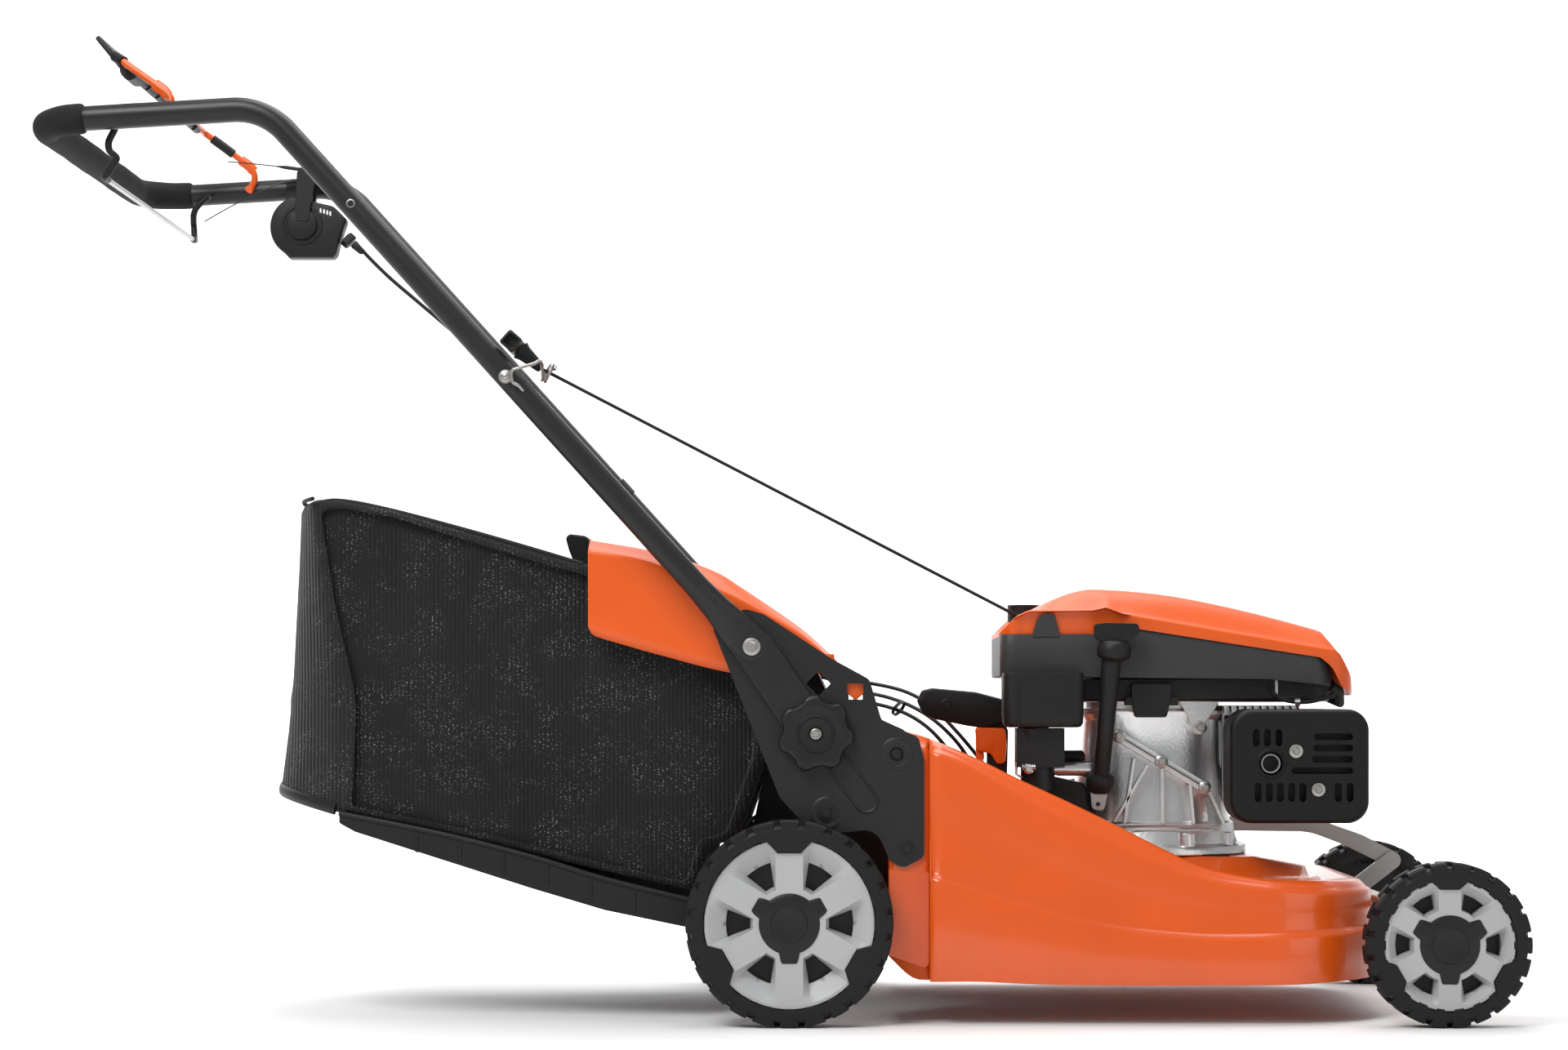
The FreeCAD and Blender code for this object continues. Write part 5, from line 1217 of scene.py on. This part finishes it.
def makeGuard():
    outline = cornered([(506, 226, 25), (667, 226, 25), (667, 358, 25), (506, 358, 25)], 10)
    face = cornered([(512, 232, 20), (661, 232, 20), (661, 352, 20), (512, 352, 20)], 10)
    holes = []

    def slit(left, right, low, high):
        radius = min(right - left, high - low) / 2 - 0.05
        return cornered([(left, low, radius), (right, low, radius), (right, high, radius),
                         (left, high, radius)], 4)

    for x in (535.9, 548.8, 562):
        holes.append(slit(x - 3.9, x + 3.9, 315, 335))
    for level, left in ((326, 602.8), (313.1, 601.9), (300.2, 600.4), (287, 576.4)):
        holes.append(slit(left, 647.5, level - 3.9, level + 3.9))
    for x in (538, 550.9, 563.8, 576.7, 589.6, 630.4, 643.9):
        holes.append(slit(x - 4, x + 4, 251, 273))
    outletX, outletZ = 553.3, 295.1
    boltSpots = ((581.5, 309.5), (607.3, 265.1))
    holes.append(arcOutline(13.5, (outletX, outletZ), 32))
    front = plate(face, -192, -189.8, holes=holes)
    rings = []
    for share, level in ((1, 0), (0.72, 0.35), (0.4, 1.5), (0.12, 4.2), (0, 8), (0, 66)):
        flat = outline + (face - outline) * share
        rings.append(lay(flat, -192 + level, "XZ"))
    skirt = sheetOf(np.array(rings), closeColumns=True)
    inside = outline + (face - outline) * 0.3
    inner = sheetOf(np.array([lay(inside, -126, "XZ"), lay(inside, -188, "XZ"), lay(face, -189.8, "XZ")]),
                    closeColumns=True)
    ridge = spun([(17.5, 0), (16.5, -0.9), (14.5, -1), (13.6, 0.6)], (outletX, -192, outletZ), (0, 1, 0),
                 36)
    piece("muffler_guard_shell", [front, skirt, inner, ridge], "chassis", "guard_paint", ("muffler_guard",),
          angle=38)
    bolts = [hexBolt((x, -193.5, z), (0, -1, 0), 4.4, 5, 7.8) for x, z in boltSpots]
    outlet = spun([(12, 0), (11, -1.5), (9.6, -1.5), (9.2, 2), (9.2, 26)], (outletX, -186, outletZ),
                  (0, 1, 0), 30)
    piece("guard_bolts", bolts, "chassis", "zinc")
    piece("muffler_outlet", [outlet], "chassis", "steel")
    backing = plate(cornered([(520, 240, 16), (653, 240, 16), (653, 344, 16), (520, 344, 16)]), -176, -130)
    piece("muffler_body", [backing], "chassis", "guard_paint", bevel=4)


def makeWiring():
    boot = [tube([(640, -60, 372), (652, -66, 366), (648, -84, 378), (636, -96, 386)], 6.5, 12),
            tube(smoothLine([(636, -96, 386), (610, -108, 376), (580, -112, 371), (560, -108, 380),
                             (548, -100, 390)], 6),
                 3.5, 10),
            tube(smoothLine([(560, -112, 386), (575, -114, 370), (605, -114, 366), (640, -110, 374)], 6),
                 2.4, 8)]
    piece("plug_lead", boot, "chassis", "belt_rubber")
    pins = [tube([(570, -112, 372), (570, -112, 392)], 2.2, 8),
            tube([(592, -113, 366), (598, -114, 366)], 5, 10)]
    piece("lead_clips", pins, "chassis", "steel")


makeCover()
makeBand()
makeFilterBox()
makeCrankcase()
makeFiller()
makeGuard()
makeWiring()
print("stage: engine")


# Handle, grip and controls.

def makeHandle():
    # Each leg is a tube pressed flat below the crank, carried up the rail and round the rear bar.
    pivot = np.array(pivotSpot)
    for side in (-1, 1):
        spots = [(-4, 251.6), (14, 251.8), (34, 252.4), (60, 254.5), (90, 259.5), (120, 262), (240, 262),
                 (400, 262)]
        squeezes = [(0.2, 1.5), (0.22, 1.48), (0.4, 1.36), (0.75, 1.14), (0.97, 1.02), (1, 1), (1, 1),
                    (1, 1)]
        far, out = np.array(spots).T
        x, z = (pivot + far[:, None] * railSlope).T
        line = np.column_stack([x, side * out, z])
        shares = np.linspace(0, len(spots) - 1, 60)
        whole = np.arange(len(spots))
        smooth = np.stack([np.interp(shares, whole, line[:, k]) for k in range(3)], -1)
        press = np.stack([np.interp(shares, whole, np.array(squeezes)[:, k]) for k in range(2)], -1)
        leg = tube(smooth, 14, 20, squeeze=press)
        outer, inner = side * 253.6, side * 249.6
        foot = plate(cornered([(-88, 456, 12), (-66, 476, 12), (-22, 440, 30), (54, 328, 22), (36, 300, 18),
                               (6, 318, 20)]), inner, outer)
        seat = spun([(15, 0), (13, 1), (11, 1.2), (8, 0.4)], (pivotSpot[0], outer, pivotSpot[1]),
                    (0, side, 0), 30)
        piece(f"handle_leg_{'right' if side < 0 else 'left'}", [leg, foot, seat], "handle", "handle_paint",
              bevel=0.8)
    start = pivot + railSlope * 380
    near = [(start[0], -railOut, start[1]), (-593, -railOut, 1037), (-850, -railOut, 1022)]
    route = near + [(x, -y, z) for x, y, z in near[::-1]]
    rails = tube(bentLine(route, [75, 62, 62, 75], 12), 14, 24)
    dimple = spun([(5, 0.4), (3.6, 0.6), (3, -0.4), (0, -0.4)], (-493.6, -275.8, 927), (0, -1, 0), 20)
    piece("handle_tube_bent", [rails], "handle", "handle_paint", ("handle_tube",), extra=[(dimple, "zinc")])
    bend = bentLine([(-796, -262, 1025.1), (-850, -262, 1022), (-850, 262, 1022), (-788, 262, 1025.6)],
                    [52, 60], 20)
    line = divided(bend, 9)
    reach = np.linspace(0, len(line), len(line))
    radii = 17.1 + 0.25 * np.sin(reach * 0.35) + 0.15 * np.sin(reach * 0.9 + 1)
    radii[[0, -1]] -= 2.2
    radii[[1, -2]] -= 0.5
    grip = piece("foam_sleeve", [tube(line, radii, 28)], "handle", "foam", ("foam_grip",), angle=60)


def makeControls():
    turns = np.radians(np.linspace(108, 238, 16))
    dialSide = [(-640 + 40 * math.cos(turn), 978 + 40 * math.sin(turn)) for turn in turns]
    outline = np.vstack([cornered([(-653, 1017.3), (-598, 1004.6, 14), (-581, 987.4, 8), (-590, 961, 8),
                                   (-594.7, 941.7, 4), (-599, 937.5, 3), (-655, 937.5)], 5),
                         np.array(dialSide[::-1])])
    middle = np.array([-632, 978])
    rings = []
    for share, level in ((0.9, 214), (0.96, 214.6), (0.99, 216.6), (1, 219), (1, 236), (0.97, 239.6),
                         (0.9, 240)):
        rings.append(lay(middle + (outline - middle) * share, level, "XZ"))
    dialRing = spun([(27, 0), (26, -1.6), (23.4, -1.8), (22.4, 0.4)], (-638, 214.4, 980.5), (0, 1, 0), 40)
    clamp = plate(cornered([(-664, 1008), (-626, 1006), (-622, 1040, 8), (-662, 1044, 8)]), 238, 247.6)
    nut = spun([(0, 0), (9.4, 0), (10, 1.4), (10, 9), (8.6, 10.4), (0, 10.4)], (-584, 227, 965),
               (0.74, 0, -0.67), 6)
    ferrule = spun([(0, 0), (4.6, 0), (5.2, 2), (4.2, 14), (3, 17), (0, 17)], (-574, 227, 957),
                   (0.74, 0, -0.67), 20)
    ticks = []
    for x, z in ((-614, 998.3), (-609.5, 997.1), (-605.4, 995.8), (-601.5, 994.4)):
        corners = [(x + a * 1.1, z + b * 2.8, 0.5) for a, b in ((-1, -1), (1, -1), (1, 1), (-1, 1))]
        ticks.append(plate(cornered(corners, 2), 213.75, 214.6))
    piece("speed_housing", [capped(rings), dialRing, clamp, nut, ferrule], "handle", "black_plastic",
          ("control_housing",), bevel=0.5, extra=[(join(ticks), "mark_white")])
    dial = spun([(0, 0), (17, 0), (19.2, 0.8), (20, 2.4), (20, 7.6), (0, 7.6)], (-638, 210, 980.5),
                (0, 1, 0), 44)
    arm = plate(cornered([(-643.8, 1046, 3), (-640.4, 1053.2, 3), (-634, 1052.6, 3), (-620, 1040, 5),
                          (-625, 1010, 10), (-629, 984), (-645, 984, 4), (-646, 1000, 14)], 5), 208.6,
                213.6)
    piece("speed_dial", [dial, arm], "speed_lever", "black_plastic", ("speed_lever",), bevel=0.7)
    # Orange wire bail: an eye pressed flat beside each arm's foot.
    near = smoothLine([(-711, -247, 1030), (-704, -246, 1040), (-703.5, -244, 1053), (-716, -241, 1064),
                       (-734, -236, 1077.4), (-752, -232, 1090), (-766, -226, 1100.5),
                       (-766.5, -214, 1101)], 8)
    far = smoothLine([(-711, 247, 1030), (-705, 246, 1046), (-711, 243, 1060), (-727, 240, 1072),
                      (-743, 236, 1084), (-757, 232, 1094), (-766, 226, 1100.5), (-766.5, 214, 1101)], 8)
    bow = np.vstack([near, far[::-1]])
    eyes = [tube([(-711, side * 247.6, 1030), (-711, side * 236, 1030)], 4.4, 14) for side in (-1, 1)]
    sleeves = [tube(smoothLine([(-757, 232.5, 1094), (-743, 236, 1084), (-731, 239, 1075)], 6), 6, 12),
               tube(smoothLine([(-760, -230, 1096), (-772, -221, 1104)], 6), 6.4, 12)]
    loops = [tube(smoothLine([(-722, side * 240.6, 1068), (-712, side * 243, 1061),
                              (-706, side * 244.5, 1054)], 6),
                  5.2, 12, squeeze=(0.5, 1.3)) for side in (-1, 1)]
    piece("drive_bail_wire", [tube(bow, 4.2, 12)] + eyes + loops, "drive_bail", "orange_plastic",
          ("drive_bail",), angle=60, extra=[(join(sleeves), "black_plastic")])
    slab = cornered([(-757, 1093, 4), (-795, 1132, 2), (-800, 1137, 2.5), (-804.5, 1133, 2.5),
                     (-776, 1098, 6), (-768, 1091, 5)], 5)
    paddle = capped(scaled(slab, [(-190, 0.55), (-189.4, 0.8), (-187, 0.95), (-183, 1), (0, 1.02), (183, 1),
                                  (187, 0.95), (189.4, 0.8), (190, 0.55)]))
    lobe = plate(cornered([(-752, 1090, 6), (-764, 1108, 6), (-780, 1098, 10), (-764, 1080, 9)]), -189,
                 -150)
    ribs = [plate(cornered([(-757, 1094), (-795, 1131, 2), (-798, 1128, 2), (-764, 1089)]), y - 1, y + 1)
            for y in range(-150, 170, 50)]
    piece("bail_paddle_cover", [paddle, lobe] + ribs, "drive_bail", "black_plastic", ("bail_paddle",),
          bevel=0.8)
    # Plated brake bail with wavy arms.
    near = smoothLine([(-763, -247, 1023), (-767.2, -246, 1014), (-773.2, -245, 1002), (-772.2, -245, 992),
                       (-765.2, -244, 985), (-766.2, -243, 980), (-774.2, -241, 968), (-780, -236, 963),
                       (-780, -222, 962.6)], 8)
    far = smoothLine([(-763, 247, 1023), (-774, 246, 1014), (-782, 245, 1004), (-784, 244, 992),
                      (-783, 243, 979), (-782, 240, 968), (-780, 234, 963), (-780, 222, 962.6)], 8)
    arms = [tube(near, 4, 12), tube(far, 4, 12)]
    arms.append(tube(smoothLine([(-784, 243.4, 998), (-783.4, 243, 984)], 4), 5.4, 12, squeeze=(0.7, 1.3)))
    wire = tube(np.vstack([near[-1:], far[-1:]]), 2.9, 12)
    feet = [tube([(-763, side * 247.6, 1023), (-763, side * 238, 1023)], 3.6, 12) for side in (-1, 1)]
    piece("brake_bail_wire", [wire], "brake_bail", "bail_wire", ("brake_bail",), angle=60,
          extra=[(join(arms + feet), "black_plastic")])


def makeStarter():
    # Wire guide: an eye bolted to the rail, then a coil that leads the rope.
    axis = np.array([576, 125, -292.0])
    axis /= np.linalg.norm(axis)
    side = np.cross(axis, [0, 1, 0])
    side /= np.linalg.norm(side)
    other = np.cross(axis, side)
    centre = np.array([-276, -224, 742])
    turns = np.linspace(2.6, 2.6 + 1.75 * 2 * math.pi, 60)[:, None]
    coil = centre + 11 * (np.cos(turns) * side + np.sin(turns) * other) + axis * (turns - turns.mean()) * 0.62
    lead = smoothLine([(-296, -270, 712), (-304, -278, 721), (-311, -279.3, 726), (-312, -279.5, 738),
                       (-302, -279.5, 742), (-289, -270, 747), (-282, -250, 752), tuple(coil[0])], 8)
    eye = spun([(3.4, 0), (8, 0), (8, -2), (3.4, -2)], (-319, -277, 732), (0, 1, 0), 28)
    wires = [tube(lead, 1.9, 10), tube(coil, 1.9, 10), eye,
             hexBolt((-319, -278.4, 732), (0, -1, 0), 4.4, 5, 6.6)]
    piece("rope_guide_wire", wires, "handle", "zinc", ("rope_guide",), angle=60)
    # T-grip: a hollow square bar on a tapered stem.
    out = np.array([-0.7485, -0.0749, 0.6587])
    nose = np.array([-284, -225.7, 746.5])
    cross = np.array([out[2], 0, -out[0]])
    cross /= np.linalg.norm(cross)
    flatOut = np.array([out[0], 0, out[2]]) / np.linalg.norm([out[0], out[2]])
    centre = np.array([-314.4, 0, 773.5])

    def square(half, corner, y):
        ring = cornered([(-half, -half, corner), (half, -half, corner), (half, half, corner),
                         (-half, half, corner)], 4)
        points = centre + ring[:, :1] * cross + ring[:, 1:] * flatOut
        points[:, 1] = y
        return points

    rows = [square(6.4, 1.5, -262), square(6.4, 1.5, -269.6), square(7.6, 2.2, -270.6), square(9, 3, -270),
            square(9.8, 3.4, -268), square(9.4, 3.2, -250), square(9.2, 3.2, -226), square(9.4, 3.2, -202),
            square(9.8, 3.4, -184), square(9, 3, -182), square(7.6, 2.2, -181.4), square(6.4, 1.5, -182.4),
            square(6.4, 1.5, -190)]
    stem = spun([(0, 0), (4.6, 0), (5.6, 1.4), (6.2, 4), (7.6, 14), (9.4, 26), (12, 32), (0, 32)], nose,
                out, 28)
    piece("starter_tee", [capped(rows), stem], "starter_grip", "black_plastic", ("starter_grip",), angle=40)


def makeClips():
    # Split clips round the rail hold the cables; a tie binds them by the bracket.
    slope = np.array([railSlope[0], 0, railSlope[1]])
    parts = []
    for x, z in ((-359, 775), (-232.5, 638)):
        line = [np.array([x, railOut, z]) + slope * far for far in (-12, -11, 11, 12)]
        parts.append(tube(line, [15, 16, 16, 15], 24))
        parts.append(plate(cornered([(x - 6, z - 24, 4), (x + 12, z - 16, 4), (x + 8, z - 4, 4),
                                     (x - 12, z - 10, 4)]),
                           232, 247))
    piece("cable_clips", parts, "handle", "black_plastic", bevel=0.5)
    tie = spun([(9.5, -2.2), (10.8, -2.2), (10.8, 2.2), (9.5, 2.2), (9.5, -2.2)], (129, 205, 358),
               (0.7, -0.4, -0.6), 28)
    piece("cable_tie", tie, "chassis", "black_plastic", angle=50)


makeHandle()
makeControls()
makeStarter()
makeClips()
print("stage: handle and controls")


# Height lever and bolts.

def makeHeightLever():
    stem = cornered([(243, 167, 8), (269, 167, 8), (312, 209, 8), (308, 223, 8), (284, 221, 10),
                     (264, 244, 20),
                     (266, 330, 12), (258, 350, 10), (236, 352, 8), (239, 330, 10), (239, 226, 20)], 5)
    blade = plate(stem, 127.6, 132.6, holes=[arcOutline(5, (255, 177))])
    handle = cornered([(157, 381, 6), (151, 368, 6), (158, 351, 8), (176, 344, 14), (215, 336, 20),
                       (238, 333, 8), (266, 343, 10), (263, 369, 12), (225, 379, 20), (170, 384, 6)], 6)
    grip = capped(scaled(handle, [(121.6, 0.86), (122.4, 0.94), (125, 0.99), (128, 1), (134, 1),
                                  (137, 0.99), (139, 0.94), (139.8, 0.86)]))
    eye = spun([(8, 0), (6.4, -0.8), (4.4, -0.8), (4.2, 1.5), (0, 1.5)], (188.6, 121.8, 363), (0, 1, 0), 24)
    pin = spun([(0, 0), (4, 0), (4, 12), (0, 12)], (302, 132, 213), (0, 1, 0), 20)
    piece("height_lever_arm", [blade, grip, eye, pin], "height_lever", "black_plastic",
          ("height_lever",), bevel=0.6)
    shape = cornered([(224, 335, 4), (262, 333, 5), (264, 312, 8), (262, 289, 5), (252, 288, 4),
                      (244, 301, 10), (226, 305, 5)], 6)
    key = capped(scaled(shape, [(121.8, 0.84), (122.2, 0.94), (124, 1), (126.9, 1)]))
    back = plate(cornered([(225, 322, 3), (234, 322, 2), (236, 294, 3), (226, 290, 3)]), 126.5, 138)
    piece("height_trigger_key", [key, back], "height_trigger", "orange_plastic", ("height_trigger",),
          bevel=0.5)


def makeBolts():
    # Three long bolts hold the engine to the platform; their heads are all that shows.
    parts = []
    for angle in (90, 210, 330):
        turn = math.radians(angle)
        parts.append(hexBolt((engineX + 108 * math.cos(turn), 108 * math.sin(turn), 195.2), (0, 0, 1), 6.4,
                             7, 9))
    piece("engine_bolts", parts, "chassis", "zinc", ("flange_bolts",))


makeHeightLever()
makeBolts()
print("stage: lever and bolts")


# The CAD nodes that still show take the finish of their slot.

slotOf = {part["node"]: part["material_slot"] for part in frame["record"]["subparts"]}
for name, thing in frame["nodes"].items():
    if thing.hide_render:
        continue
    thing.data.materials.clear()
    thing.data.materials.append(looks[slotOf.get(name, "steel")])
    thing.data.polygons.foreach_set("use_smooth", [True] * len(thing.data.polygons))
    thing.data.set_sharp_from_angle(angle=math.radians(32))

# The floor sweeps up into a wall behind.
curve = [(4.6 + 2 * math.sin(turn), 2 - 2 * math.cos(turn)) for turn in np.linspace(0, math.pi / 2, 24)]
sweepLine = np.array([(-9.0, 0.0)] + curve + [(6.6, 9.0)])
sides = [np.column_stack([np.full(len(sweepLine), x), sweepLine]) for x in (-12, 12)]
sweepPoints, sweepFaces = sheetOf(np.array(sides))
floorMesh = bpy.data.meshes.new("floor")
floorMesh.from_pydata(sweepPoints.tolist(), [], sweepFaces)
floorMesh.polygons.foreach_set("use_smooth", [True] * len(sweepFaces))
floor = bpy.data.objects.new("floor", floorMesh)
bpy.context.scene.collection.objects.link(floor)
floorMesh.materials.append(finish("floor_paper", (0.86, 0.86, 0.86), 0.9, spread=0.01, grain=30, bump=0.0))

print("stage: finished")
